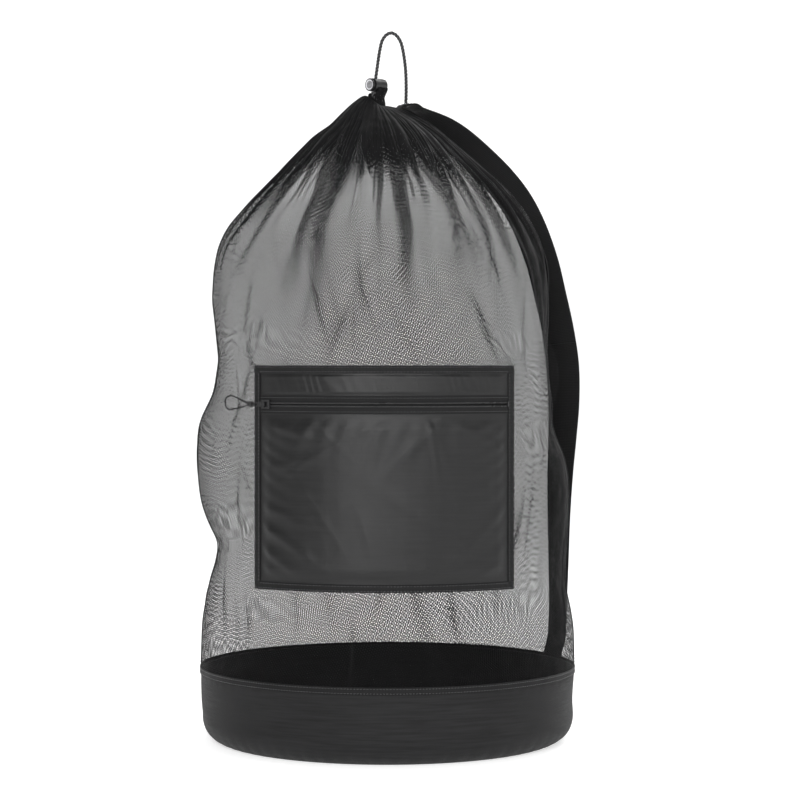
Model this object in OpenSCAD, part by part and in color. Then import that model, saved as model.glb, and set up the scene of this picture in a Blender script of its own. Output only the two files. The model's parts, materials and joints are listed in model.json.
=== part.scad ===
/* [Bag body] */
// Outside radius of the base band, which is also the filled bag's radius
bag_r = 249; // [240:1:256]
// Height of the solid-cloth band round the base
band_h = 97; // [80:1:110]
// Radius of the rounded fold between the band and the base
base_fold_r = 34; // [20:1:40]
// Thickness of the base and band cloth
cloth_t = 2; // [1.5:0.1:2.5]
// Thickness the net is drawn with
net_t = 1.5; // [1:0.1:2]
// Radius of the filled net behind the pocket
net_r = 243.2; // [240:0.1:246]

/* [Neck and drawcord] */
// Sideways place of the gathered neck
neck_x = -15; // [-20:1:-10]
// Height where the net ends and the gathered hem begins
hem_z = 845; // [840:1:850]
// Height of the gathered hem
hem_h = 17.5; // [16:0.5:20]
// Outside radius of the gathered hem
hem_r = 12.5; // [12.5:0.5:15]
// Radius of the mouth that is left open in the drawn-up neck
mouth_r = 5; // [4:0.5:6]
// Diameter of the drawcord
cord_d = 4.8; // [4:0.1:4.8]

/* [Cord lock] */
// Outside diameter of the cord lock's barrel
lock_d = 17.7; // [17:0.1:18.5]
// Length of the cord lock's barrel without its button
lock_l = 21.8; // [21:0.1:23]
// How far the button can be pushed in
button_travel = 3.2; // [2:0.1:3.4]

/* [Pocket] */
// Height of the pocket's lower edge
pocket_z = 218; // [210:1:225]
// Height of the pocket's upper edge
pocket_top_z = 500; // [490:1:505]
// Angle from the pocket's middle to its side edges
pocket_a = 41.5; // [38:0.5:43]
// Width of the binding tape round the pocket
binding_w = 10; // [8:1:12]
// Height of the zip's line of teeth
zip_z = 451; // [445:1:455]

/* [Strap] */
// Width of the carrying strap
strap_w = 50; // [40:1:50]
// Thickness of the strap's webbing
strap_t = 2; // [1.5:0.1:2.5]
// Direction of the strap round the bag, behind the right-hand side
strap_a = 25; // [22:1:28]

/* [Hidden] */

black_cloth = [0.13, 0.13, 0.14];
grey_cloth = [0.25, 0.25, 0.27];
net_black = [0.10, 0.10, 0.11];
tape_black = [0.08, 0.08, 0.09];
plastic_black = [0.06, 0.06, 0.07];
metal = [0.70, 0.70, 0.72];

fit_gap = 0.3;      // clearance between pieces that move past each other
skin_gap = 0.1;     // clearance between layers that are sewn to each other
tape_t = 1.2;       // thickness of a folded binding tape

// ---------- points on a smooth curve through a short list of points ----------

function smooth_point(a, b, c, d, t) =
    0.5 * (2 * b + (c - a) * t + (2 * a - 5 * b + 4 * c - d) * t * t
        + (3 * b - a - 3 * c + d) * t * t * t);

function at_end(points, i) = points[max(0, min(len(points) - 1, i))];

function smooth_curve(points, steps) = [
    for (i = [0 : len(points) - 2], s = [0 : steps - 1])
        smooth_point(at_end(points, i - 1), points[i], points[i + 1],
            at_end(points, i + 2), s / steps),
    points[len(points) - 1]
];

function unit(v) = v / norm(v);

// ---------- a round tube swept along points ----------

// Carries the first ring's side direction along the route, so that the tube doesn't twist.
function carried_sides(dirs, side, i) =
    i == len(dirs) ? []
    : let (s = unit(side - (side * dirs[i]) * dirs[i]))
        concat([s], carried_sides(dirs, s, i + 1));

function route_dirs(points) = [
    for (i = [0 : len(points) - 1])
        unit(at_end(points, i + 1) - at_end(points, i - 1))
];

module tube(points, r, sides, first_side) {
    dirs = route_dirs(points);
    across = carried_sides(dirs, first_side, 0);
    rings = [
        for (i = [0 : len(points) - 1], k = [0 : sides - 1])
            let (a = 360 * k / sides)
                points[i] + r * (cos(a) * across[i] + sin(a) * cross(dirs[i], across[i]))
    ];
    last = (len(points) - 1) * sides;
    walls = [
        for (i = [0 : len(points) - 2], k = [0 : sides - 1])
            [i * sides + k, (i + 1) * sides + k,
                (i + 1) * sides + (k + 1) % sides, i * sides + (k + 1) % sides]
    ];
    polyhedron(
        points = rings,
        faces = concat(
            [[for (k = [0 : sides - 1]) k]],
            walls,
            [[for (k = [0 : sides - 1]) last + sides - 1 - k]]
        )
    );
}

// A tube whose two ends meet.
module closed_tube(points, r, sides, side_dir) {
    n = len(points);
    dirs = [for (i = [0 : n - 1]) unit(points[(i + 1) % n] - points[(i + n - 1) % n])];
    rings = [
        for (i = [0 : n - 1], k = [0 : sides - 1])
            let (a = 360 * k / sides)
                points[i] + r * (cos(a) * side_dir + sin(a) * cross(dirs[i], side_dir))
    ];
    polyhedron(
        points = rings,
        faces = [
            for (i = [0 : n - 1], k = [0 : sides - 1])
                [i * sides + k, ((i + 1) % n) * sides + k,
                    ((i + 1) % n) * sides + (k + 1) % sides, i * sides + (k + 1) % sides]
        ]
    );
}

// ---------- the filled bag's shape ----------

// Radius and sideways place of the net's outside at round heights.
net_profile = [
    // height, radius, middle in x
    [97, bag_r - 0.4, 0],
    [150, 246.5, 0],
    [205, net_r, 0],
    [300, net_r, 0],
    [400, net_r, 0],
    [505, net_r, 0],
    [540, 240, -2],
    [580, 232, -5],
    [620, 224, -8],
    [650, 214, -9],
    [680, 199, -9],
    [710, 178, -8],
    [740, 151, -7],
    [770, 120, -8],
    [800, 88, -10],
    [820, 62, -12],
    [835, 36, -14],
    [hem_z, 14, neck_x]
];
net_rings = smooth_curve(net_profile, 2);
net_steps = 36;     // flats round each half of the net

// Point on the net: ring of net_rings, angle from +X, and how far outside it.
function net_point(ring, a, out) = [
    ring[2] + (ring[1] + out) * cos(a),
    (ring[1] + out) * sin(a),
    ring[0]
];

// A strip of the net's surface, from out_low to out_high outside it.
module net_strip(rings, a_from, a_to, steps, out_low, out_high) {
    n = steps + 1;
    layer = len(rings) * n;
    points = [
        for (out = [out_low, out_high], ring = rings, k = [0 : steps])
            net_point(ring, a_from + (a_to - a_from) * k / steps, out)
    ];
    quads = [
        for (i = [0 : len(rings) - 2], k = [0 : steps - 1])
            [i * n + k, i * n + k + 1, (i + 1) * n + k + 1, (i + 1) * n + k]
    ];
    edge = concat(
        [for (k = [0 : steps - 1]) k],
        [for (i = [0 : len(rings) - 2]) i * n + steps],
        [for (k = [0 : steps - 1]) (len(rings) - 1) * n + steps - k],
        [for (i = [0 : len(rings) - 2]) (len(rings) - 1 - i) * n]
    );
    polyhedron(
        points = points,
        faces = concat(
            [for (q = quads) q],
            [for (q = quads) [for (j = [3 : -1 : 0]) q[j] + layer]],
            [for (j = [0 : len(edge) - 1])
                let (a = edge[j], b = edge[(j + 1) % len(edge)])
                    [b, a, a + layer, b + layer]]
        )
    );
}

module mesh_front_panel() {
    color(net_black) net_strip(net_rings, 180, 360, net_steps, -net_t, 0);
}

module mesh_back_panel() {
    color(net_black) net_strip(net_rings, 0, 180, net_steps, -net_t, 0);
}

seam_half_a = 1.6;  // half the angle that a side seam's tape covers at the band
// The tape starts just over the band's binding, part of the way from the net's first ring to its second.
seam_foot = (band_h + 4 + skin_gap - net_rings[0][0]) / (net_rings[1][0] - net_rings[0][0]);
seam_rings = concat(
    [net_rings[0] * (1 - seam_foot) + net_rings[1] * seam_foot],
    [for (i = [1 : len(net_rings) - 6]) net_rings[i]]
);

module side_seam(a) {
    net_strip(seam_rings, a - seam_half_a, a + seam_half_a, 2, skin_gap, skin_gap + tape_t);
}

module side_seam_left() {
    color(tape_black) side_seam(180);
}

module side_seam_right() {
    color(tape_black) side_seam(0);
}

// ---------- base ----------

piping_w = 3.2;     // width of the piping between the base and the band
base_flat_r = bag_r - base_fold_r;
panel_t = 2.5;

module base_panel() {
    color(black_cloth) cylinder(h = panel_t, r = base_flat_r - piping_w, $fn = 180);
}

module ring(r_in, r_out, z_low, z_high) {
    translate([0, 0, z_low])
        difference() {
            cylinder(h = z_high - z_low, r = r_out, $fn = 180);
            translate([0, 0, -1])
                cylinder(h = z_high - z_low + 2, r = r_in, $fn = 180);
        }
}

module base_binding() {
    color(tape_black) ring(base_flat_r - piping_w, base_flat_r, 0, panel_t);
}

module base_band() {
    color(black_cloth)
        rotate_extrude($fn = 180)
            difference() {
                union() {
                    translate([base_flat_r, base_fold_r]) circle(r = base_fold_r, $fn = 96);
                    translate([base_flat_r, base_fold_r])
                        square([base_fold_r, band_h - base_fold_r]);
                }
                translate([base_flat_r, base_fold_r])
                    circle(r = base_fold_r - cloth_t, $fn = 96);
                translate([base_flat_r - base_fold_r - 1, base_fold_r])
                    square([2 * base_fold_r + 1 - cloth_t, band_h]);
                translate([base_flat_r - base_fold_r - 1, -1])
                    square([base_fold_r + 1, band_h]);
            }
}

module band_binding() {
    color(tape_black)
        ring(bag_r + skin_gap, bag_r + skin_gap + tape_t, band_h - 6, band_h + 4);
}

// ---------- gathered hem ----------

hem_wall = 1.1;
tunnel_r = (mouth_r + hem_r) / 2;
exit_a = 248;       // angle round the hem where the drawcord comes out under the lock
cord_lean = [0.139, 0, 0.990];  // direction of the drawcord through the lock
cord_exit = [neck_x + tunnel_r * cos(exit_a), tunnel_r * sin(exit_a), hem_z + hem_h];
exit_r = cord_d / 2 + 0.5;

module along_cord() {
    translate(cord_exit) rotate([0, atan2(cord_lean[0], cord_lean[2]), 0]) children();
}

module hem_casing() {
    color(net_black)
        difference() {
            translate([neck_x, 0, hem_z]) rotate_extrude($fn = 96)
                difference() {
                    translate([mouth_r, 0]) square([hem_r - mouth_r, hem_h]);
                    translate([mouth_r + hem_wall, hem_wall])
                        square([hem_r - mouth_r - 2 * hem_wall, hem_h - 2 * hem_wall]);
                }
            along_cord() translate([0, 0, -4]) cylinder(h = 8, r = exit_r, $fn = 48);
        }
}

module hem_eyelet() {
    color(metal)
        translate([cord_exit[0], cord_exit[1], hem_z + hem_h + 0.02])
            difference() {
                cylinder(h = 0.4, r = exit_r + 1, $fn = 48);
                translate([0, 0, -1]) cylinder(h = 3, r = exit_r, $fn = 48);
            }
}

// ---------- drawcord ----------

// The tunnel's stretch climbs as it goes round the hem, then turns up into the lock.
function in_tunnel(a, z) = [neck_x + tunnel_r * cos(a), tunnel_r * sin(a), z];

drawcord_route = [
    in_tunnel(0, 849), in_tunnel(330, 849), in_tunnel(300, 850), in_tunnel(275, 852.5),
    cord_exit + (858 - hem_z - hem_h) * cord_lean + [0.4, 0, 0],
    cord_exit,
    cord_exit + 18 * cord_lean,
    cord_exit + 36 * cord_lean,
    cord_exit + 48 * cord_lean,
    [-9.5, -7, 922], [-7, -6, 931.5], [-2, -4, 939], [5, -1, 942.5], [12, 2, 939.5],
    [17.5, 5, 931.5], [20.5, 7, 921], [23, 9, 906], [24.5, 10, 890], [25, 10.5, 872],
    [24.8, 10.8, 858], [24.5, 11, 850], [24.5, 11, 844.5]
];

module drawcord() {
    color(tape_black) tube(smooth_curve(drawcord_route, 3), cord_d / 2, 10, [0, 0, 1]);
}

// ---------- cord lock ----------

lock_axis_a = 226;          // the button points this way, seen from above
lock_up = 9.9;              // height of the barrel's axis over the hem along the cord
button_out = button_travel + 2;     // how far the button stands out of the barrel
cord_from_mouth = 5.3;      // distance of the cord's hole from the barrel's mouth
lock_bore_r = 6.9;
lock_end_t = 2.3;
cord_hole_r = cord_d / 2 + 0.6;

// The barrel's own frame: +X towards the button, with x = 0 at the cord.
module lock_frame() {
    translate(cord_exit + lock_up * cord_lean) rotate([0, 0, lock_axis_a]) children();
}

// A round bar along the barrel, from x_low to x_high.
module bar(x_low, x_high, r) {
    translate([x_low, 0, 0]) rotate([0, 90, 0])
        cylinder(h = x_high - x_low, r = r, $fn = 72);
}

module lock_cord_hole(r, length) {
    translate(cord_exit + lock_up * cord_lean)
        rotate([0, atan2(cord_lean[0], cord_lean[2]), 0])
            translate([0, 0, -length / 2]) cylinder(h = length, r = r, $fn = 48);
}

module cord_lock_body() {
    color(plastic_black)
        difference() {
            lock_frame() {
                difference() {
                    union() {
                        bar(cord_from_mouth - lock_l + 1, cord_from_mouth, lock_d / 2);
                        bar(cord_from_mouth - lock_l, cord_from_mouth, lock_d / 2 - 1);
                    }
                    bar(cord_from_mouth - lock_l + lock_end_t, cord_from_mouth + 1, lock_bore_r);
                }
                for (k = [0 : 9])
                    rotate([36 * k, 0, 0])
                        translate([cord_from_mouth - lock_l + 1.5, -0.6, lock_d / 2 - 0.5])
                            cube([8, 1.2, 0.9]);
            }
            lock_cord_hole(cord_hole_r, 30);
        }
}

stem_r = lock_bore_r - fit_gap;
stem_in = -cord_hole_r - 2;         // the stem's inner end
slot_r = cord_hole_r + 0.5;         // half the width of the stem's slot for the cord

module cord_lock_button() {
    color(metal)
        lock_frame()
            difference() {
                union() {
                    bar(stem_in, cord_from_mouth + button_out - 1, stem_r);
                    bar(cord_from_mouth + button_travel + 0.3, cord_from_mouth + button_out - 0.7,
                        lock_d / 2 - 0.4);
                    bar(cord_from_mouth + button_travel + 0.3, cord_from_mouth + button_out,
                        lock_d / 2 - 1.1);
                }
                bar(cord_from_mouth + button_out - 0.7, cord_from_mouth + button_out + 1,
                    lock_d / 2 - 2.6);
                for (x = [0, button_travel])
                    translate([x, 0, -lock_d]) cylinder(h = 2 * lock_d, r = slot_r, $fn = 48);
                translate([0, -slot_r, -lock_d]) cube([button_travel, 2 * slot_r, 2 * lock_d]);
            }
}

spring_turns = 4;
spring_r = 4.8;
wire_r = 0.45;
spring_x0 = cord_from_mouth - lock_l + lock_end_t + wire_r + 0.05;
spring_x1 = stem_in - wire_r - 0.05;
spring_steps = 12;

module cord_lock_spring() {
    points = [
        for (i = [0 : spring_turns * spring_steps])
            let (a = 360 * i / spring_steps)
                [spring_x0 + (spring_x1 - spring_x0) * i / (spring_turns * spring_steps),
                    spring_r * cos(a), spring_r * sin(a)]
    ];
    color(metal) lock_frame() tube(points, wire_r, 8, [0, 1, 0]);
}

// ---------- pocket ----------

backing_r = net_r + 0.4;
panel_r = backing_r + 1.4 + 0.05;
tape_r = panel_r + 1.6;
coil_r = tape_r + 0.8;
pocket_mid_a = 269;         // direction of the pocket's middle

// A piece of a ring about the bag's axis, from a_from to a_to seen from above.
module arc_strip(r_in, r_out, z_low, z_high, a_from, a_to) {
    rotate([0, 0, a_from])
        rotate_extrude(angle = a_to - a_from, $fn = 180)
            translate([r_in, z_low]) square([r_out - r_in, z_high - z_low]);
}

module pocket_strip(r_in, r_out, z_low, z_high, half_a = pocket_a) {
    arc_strip(r_in, r_out, z_low, z_high, pocket_mid_a - half_a, pocket_mid_a + half_a);
}

tape_edge = 0.7;            // half the gap between the zip's two tapes
tape_w = 10.8;
panel_gap = 10;             // half the height left open behind the zip
binding_a = binding_w / panel_r * 180 / PI;
inner_a = pocket_a - binding_a;

module pocket_backing() {
    color(grey_cloth) pocket_strip(backing_r, backing_r + 1.4, pocket_z, pocket_top_z);
}

module pocket_upper_panel() {
    color(grey_cloth)
        pocket_strip(panel_r, tape_r - 0.05, zip_z + panel_gap, pocket_top_z);
}

module pocket_lower_panel() {
    color(grey_cloth)
        pocket_strip(panel_r, tape_r - 0.05, pocket_z, zip_z - panel_gap);
}

module binding_top() {
    color(tape_black)
        pocket_strip(tape_r, tape_r + tape_t, pocket_top_z - binding_w, pocket_top_z);
}

module binding_bottom() {
    color(tape_black)
        pocket_strip(tape_r, tape_r + tape_t, pocket_z, pocket_z + binding_w);
}

module binding_side(a_from) {
    arc_strip(tape_r, tape_r + tape_t, pocket_z + binding_w + 0.05,
        pocket_top_z - binding_w - 0.05, a_from, a_from + binding_a);
}

module binding_left() {
    color(tape_black) binding_side(pocket_mid_a - pocket_a);
}

module binding_right() {
    color(tape_black) binding_side(pocket_mid_a + pocket_a - binding_a);
}

// ---------- zip ----------

coil_h = 2.6;
coil_t = 1.8;
coil_half_a = inner_a - 0.6;

module zip_tape_upper() {
    color(tape_black)
        pocket_strip(tape_r, coil_r - 0.05, zip_z + tape_edge, zip_z + tape_edge + tape_w,
            inner_a - 0.1);
}

module zip_tape_lower() {
    color(tape_black)
        pocket_strip(tape_r, coil_r - 0.05, zip_z - tape_edge - tape_w, zip_z - tape_edge,
            inner_a - 0.1);
}

module zip_coil_upper() {
    color(plastic_black)
        pocket_strip(coil_r, coil_r + coil_t, zip_z + tape_edge, zip_z + tape_edge + coil_h,
            coil_half_a);
}

module zip_coil_lower() {
    color(plastic_black)
        pocket_strip(coil_r, coil_r + coil_t, zip_z - tape_edge - coil_h, zip_z - tape_edge,
            coil_half_a);
}

module zip_stops() {
    color(metal) {
        for (z = [zip_z + tape_edge, zip_z - tape_edge - coil_h])
            arc_strip(coil_r, coil_r + coil_t + 0.4, z, z + coil_h,
                pocket_mid_a - inner_a + 0.15, pocket_mid_a - inner_a + 0.55);
        arc_strip(coil_r, coil_r + coil_t + 0.4, zip_z - tape_edge - coil_h,
            zip_z + tape_edge + coil_h,
            pocket_mid_a + inner_a - 0.55, pocket_mid_a + inner_a - 0.15);
    }
}

slider_l_a = 3.3;           // angle that the slider's body covers
slider_a0 = pocket_mid_a - coil_half_a + 0.35;
plate_r = coil_r + coil_t + fit_gap;
plate_t = 1.3;
slider_half_h = 5.6;
post_half_t = 0.4;

module slider_strip(r_in, r_out, z_low, z_high, a_low = 0, a_high = slider_l_a) {
    arc_strip(r_in, r_out, z_low, z_high, slider_a0 + a_low, slider_a0 + a_high);
}

module zip_slider() {
    back_r = backing_r + 1.4 + fit_gap;
    color(metal) {
        slider_strip(plate_r, plate_r + plate_t, zip_z - slider_half_h, zip_z + slider_half_h);
        slider_strip(back_r, back_r + 1, zip_z - slider_half_h, zip_z + slider_half_h);
        slider_strip(back_r, plate_r + 0.1, zip_z - post_half_t, zip_z + post_half_t, 0.1, 0.9);
        for (s = [-1, 1])
            slider_strip(coil_r + fit_gap, plate_r + 0.1,
                min(zip_z + s * slider_half_h, zip_z + s * (slider_half_h - 1.2)),
                max(zip_z + s * slider_half_h, zip_z + s * (slider_half_h - 1.2)));
        for (s = [-1, 1])
            slider_strip(plate_r + plate_t - 0.1, pull_r + 1.9,
                zip_z + s * 2.7 - 0.7, zip_z + s * 2.7 + 0.7, 1.15, 1.85);
        rotate([0, 0, pull_a])
            translate([pull_r, 0, zip_z - 2.7]) cylinder(h = 5.4, r = 0.8, $fn = 32);
    }
}

pull_r = plate_r + plate_t + 2.2;   // distance of the pull's pin from the bag's axis
pull_a = slider_a0 + 1.5;           // the pin's place along the slider
tab_l = 15;
tab_t = 1.6;

// The pull's own frame: the pin along Z at the origin, and the pull lying along +X.
module pull_frame() {
    rotate([0, 0, pull_a]) translate([pull_r, 0, zip_z]) rotate([0, 0, -90]) children();
}

module zip_pull_tab() {
    color(metal)
        pull_frame()
            difference() {
                union() {
                    translate([0, 0, -1.6]) cylinder(h = 3.2, r = 1.75, $fn = 48);
                    translate([0, -tab_t / 2, -1.6]) cube([8, tab_t, 3.2]);
                    translate([3, -tab_t / 2, -3]) cube([tab_l - 6, tab_t, 6]);
                    translate([tab_l - 3, tab_t / 2, 0]) rotate([90, 0, 0])
                        cylinder(h = tab_t, r = 3, $fn = 48);
                }
                translate([0, 0, -5]) cylinder(h = 10, r = 0.9, $fn = 32);
                translate([tab_l - 3, 5, 0]) rotate([90, 0, 0])
                    cylinder(h = 10, r = 1.8, $fn = 32);
            }
}

pull_cord_d = 2;
bead_x = tab_l + 3.5;
bead_l = 7;
bead_r = 3.6;

module zip_pull_bead() {
    color(plastic_black)
        pull_frame()
            difference() {
                translate([bead_x, 0, 0]) rotate([0, 90, 0]) rotate_extrude($fn = 48)
                    difference() {
                        union() {
                            translate([0, 1]) square([bead_r, bead_l - 2]);
                            square([bead_r - 1, bead_l]);
                            for (z = [1, bead_l - 1])
                                translate([bead_r - 1, z]) circle(r = 1, $fn = 32);
                        }
                        translate([-10, -1]) square([10, bead_l + 2]);
                    }
                translate([bead_x - 1, -pull_cord_d / 2 - 0.1, -pull_cord_d - 0.1])
                    cube([bead_l + 2, pull_cord_d + 0.2, 2 * pull_cord_d + 0.2]);
            }
}

loop_x = bead_x + bead_l;   // where the open part of the loop starts

// The loop runs through the tab's hole, back through the bead, and round in a wide teardrop.
pull_cord_route = [
    [tab_l - 3.1, 0, 0], [tab_l - 2.6, -1.6, 0.1], [tab_l - 1, -2.2, 0.3],
    [tab_l + 1.2, -1.5, 0.8], [bead_x, 0, 1.05], [loop_x, 0, 1.05],
    [loop_x + 4, 0, 2.4], [loop_x + 15, 0, 6.6], [loop_x + 26, 0, 9.8], [loop_x + 32.5, 0, 10],
    [loop_x + 37, 0, 7.2], [loop_x + 38.5, 0, 2], [loop_x + 37.5, 0, -3.5], [loop_x + 33.5, 0, -6.8],
    [loop_x + 27.5, 0, -6.8], [loop_x + 15, 0, -4.6], [loop_x + 4, 0, -2.2], [loop_x, 0, -1.05],
    [bead_x, 0, -1.05], [tab_l + 1.2, 1.5, -0.8], [tab_l - 1, 2.2, -0.3],
    [tab_l - 2.6, 1.6, -0.1]
];

module zip_pull_cord() {
    n = len(pull_cord_route);
    loop = [
        for (i = [0 : n - 1], s = [0 : 1])
            smooth_point(pull_cord_route[(i + n - 1) % n], pull_cord_route[i],
                pull_cord_route[(i + 1) % n], pull_cord_route[(i + 2) % n], s / 2)
    ];
    color(tape_black) pull_frame() closed_tube(loop, pull_cord_d / 2, 8, [0, 1, 0]);
}

// ---------- carrying strap ----------

// The strap's middle line lies in an upright plane through the bag's axis.
module strap_plane() {
    rotate([0, 0, strap_a]) rotate([90, 0, 0])
        translate([0, 0, -strap_w / 2]) linear_extrude(strap_w) children();
}

tab_end_r = 43;             // where the sewn top end of the strap stops
tab_top_z = 848.5;
strap_tab_t = 2.5;
tab_bend_r = 33;            // where the top end starts to slope down
tab_low_z = 122;            // where the sewn lower end of the strap stops

// Distance from the bag's axis, height, and the webbing's turn about its own line in degrees.
strap_route = [
    [50, 840, 0], [63, 831.5, -12], [83, 819, -26], [106, 803.5, -34], [135, 781, -38],
    [166, 754, -40], [193, 724, -40], [215, 688, -38], [234, 643, -36], [248, 594, -34],
    [260, 548, -32], [268.5, 500, -30], [270, 450, -27], [267, 400, -22], [263.5, 350, -16],
    [261.5, 290, -9], [260.5, 220, -4], [259.5, 165, 0], [257.5, tab_low_z + 3, 0]
];

// The four corners of the webbing at point i of its line.
function webbing_corners(line, i) =
    let (
        p = line[i],
        run = at_end(line, i + 1) - at_end(line, i - 1),
        d = unit([run[0], run[1]]),
        across = cos(p[2]) * [0, 1, 0] + sin(p[2]) * [-d[1], 0, d[0]],
        up = cos(p[2]) * [-d[1], 0, d[0]] - sin(p[2]) * [0, 1, 0],
        middle = [p[0], 0, p[1]]
    )
        [for (c = [[1, 1], [-1, 1], [-1, -1], [1, -1]])
            middle + c[0] * strap_w / 2 * across + c[1] * strap_t / 2 * up];

module strap_webbing() {
    line = smooth_curve(strap_route, 3);
    n = len(line);
    color(tape_black)
        rotate([0, 0, strap_a])
            polyhedron(
                points = [for (i = [0 : n - 1]) each webbing_corners(line, i)],
                faces = concat(
                    [[0, 1, 2], [0, 2, 3]],
                    [
                        for (i = [0 : n - 2], k = [0 : 3], half = [0, 1])
                            let (a = 4 * i + k, b = 4 * i + (k + 1) % 4)
                                half == 0 ? [a, a + 4, b] : [b, a + 4, b + 4]
                    ],
                    [[4 * n - 4, 4 * n - 2, 4 * n - 3], [4 * n - 4, 4 * n - 1, 4 * n - 2]]
                ),
                convexity = 4
            );
}

strap_eyelet_at = [24.5, 11];

module strap_top_tab() {
    color(tape_black)
        difference() {
            strap_plane()
                polygon([
                    [-14, tab_top_z - strap_tab_t], [tab_bend_r - 0.7, tab_top_z - strap_tab_t],
                    [tab_end_r - 1.3, tab_top_z - 8.2], [tab_end_r, tab_top_z - 6],
                    [tab_bend_r, tab_top_z], [-14, tab_top_z]
                ]);
            translate([neck_x, 0, 800]) cylinder(h = 100, r = hem_r + 0.05, $fn = 96);
            translate([-60, -60, 800]) cube([60 + neck_x + 4, 120, 100]);
            translate([strap_eyelet_at[0], strap_eyelet_at[1], 800])
                cylinder(h = 100, r = exit_r + 0.4, $fn = 48);
        }
}

module strap_eyelet() {
    color(metal)
        translate([strap_eyelet_at[0], strap_eyelet_at[1], 0])
            difference() {
                union() {
                    translate([0, 0, tab_top_z - 2.6]) cylinder(h = 3.2, r = exit_r + 0.35, $fn = 48);
                    translate([0, 0, tab_top_z + 0.05]) cylinder(h = 0.6, r = exit_r + 2, $fn = 48);
                }
                translate([0, 0, 800]) cylinder(h = 100, r = exit_r - 0.2, $fn = 48);
            }
}

module strap_bottom_tab() {
    inner = bag_r + skin_gap + tape_t + 0.1;
    color(tape_black)
        strap_plane()
            polygon([
                [inner, 56], [inner + strap_t, 56], [inner + strap_t, 104],
                [258.5, tab_low_z], [256.5, tab_low_z], [inner, 104.5]
            ]);
}

base_panel();
base_binding();
base_band();
band_binding();
mesh_front_panel();
mesh_back_panel();
side_seam_left();
side_seam_right();
hem_casing();
hem_eyelet();
strap_eyelet();
drawcord();
cord_lock_body();
cord_lock_spring();
cord_lock_button();
pocket_backing();
pocket_upper_panel();
pocket_lower_panel();
binding_top();
binding_bottom();
binding_left();
binding_right();
zip_tape_upper();
zip_tape_lower();
zip_coil_upper();
zip_coil_lower();
zip_stops();
zip_slider();
zip_pull_tab();
zip_pull_bead();
zip_pull_cord();
strap_top_tab();
strap_webbing();
strap_bottom_tab();
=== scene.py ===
import json
import math

import bpy
import numpy as np
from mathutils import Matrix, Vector, noise


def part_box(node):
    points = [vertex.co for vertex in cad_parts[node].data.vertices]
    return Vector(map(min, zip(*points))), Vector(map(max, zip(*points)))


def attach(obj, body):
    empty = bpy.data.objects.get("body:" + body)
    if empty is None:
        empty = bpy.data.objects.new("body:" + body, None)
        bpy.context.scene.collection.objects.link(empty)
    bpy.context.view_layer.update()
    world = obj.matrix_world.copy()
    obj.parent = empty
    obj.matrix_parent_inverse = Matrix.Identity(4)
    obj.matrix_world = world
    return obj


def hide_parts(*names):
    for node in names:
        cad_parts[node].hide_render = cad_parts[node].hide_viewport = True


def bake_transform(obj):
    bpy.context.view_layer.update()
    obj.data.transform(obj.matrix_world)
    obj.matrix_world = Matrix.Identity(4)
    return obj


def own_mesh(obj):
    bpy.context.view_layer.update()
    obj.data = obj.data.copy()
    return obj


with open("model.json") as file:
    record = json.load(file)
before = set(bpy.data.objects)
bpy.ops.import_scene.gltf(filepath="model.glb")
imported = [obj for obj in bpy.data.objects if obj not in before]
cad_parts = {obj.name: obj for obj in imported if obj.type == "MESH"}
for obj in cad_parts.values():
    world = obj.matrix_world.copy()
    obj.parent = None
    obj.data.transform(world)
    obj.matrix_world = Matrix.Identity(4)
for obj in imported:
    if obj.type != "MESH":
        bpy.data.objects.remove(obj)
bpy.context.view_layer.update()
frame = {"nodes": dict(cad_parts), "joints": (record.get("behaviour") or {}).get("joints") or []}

MM = 0.001
TAU = 2 * math.pi

# ---------------------------------------------------------------- places from the frame

base_low, base_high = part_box("base_band")
BAG_R = base_high[0]
BAND_H = base_high[2]
BASE_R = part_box("base_binding")[1][0]
FOLD_R = BAG_R - BASE_R
PIPING_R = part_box("base_panel")[1][0]
hem_low, hem_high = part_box("hem_casing")
NECK_X = (hem_low[0] + hem_high[0]) / 2
HEM_R = (hem_high[0] - hem_low[0]) / 2
HEM_Z = hem_low[2]
HEM_TOP = hem_high[2]
pocket_low, pocket_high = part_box("pocket_backing")
POCKET_Z = pocket_low[2]
POCKET_TOP = pocket_high[2]
# The inner radius of each layer of the pocket: its solid's outer radius less its thickness.
BACKING_R = -pocket_low[1] - 1.4 * MM
PANEL_R = -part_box("pocket_lower_panel")[0][1] - 1.55 * MM
TAPE_R = -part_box("zip_tape_lower")[0][1] - 0.75 * MM
COIL_R = -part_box("zip_coil_lower")[0][1] - 1.8 * MM
joints = {j["name"]: j for j in frame["joints"]}
CORD_D = 4.8 * MM
POCKET_MID = math.radians(269)
POCKET_HALF = math.radians(41.5)
BINDING_W = 10 * MM
STRAP_A = math.radians(25)
STRAP_W = 50 * MM


def smooth_curve(points, steps):
    """Points on a smooth curve through a few points, steps of them to each stretch."""
    p = np.array(points, float)
    p = np.vstack([p[:1], p, p[-1:]])
    out = []
    for i in range(1, len(p) - 2):
        a, b, c, d = p[i - 1], p[i], p[i + 1], p[i + 2]
        for s in range(steps):
            t = s / steps
            out.append(0.5 * (2 * b + (c - a) * t + (2 * a - 5 * b + 4 * c - d) * t * t
                              + (3 * b - a - 3 * c + d) * t ** 3))
    out.append(p[-2])
    return np.array(out)


def evenly(points, step):
    """The same line with points a fixed distance apart."""
    gaps = np.linalg.norm(np.diff(points, axis=0), axis=1)
    run = np.concatenate([[0], np.cumsum(gaps)])
    count = max(2, int(round(run[-1] / step)) + 1)
    at = np.linspace(0, run[-1], count)
    return np.stack([np.interp(at, run, points[:, k]) for k in range(3)], axis=1)


# ---------------------------------------------------------------- mesh making

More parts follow.
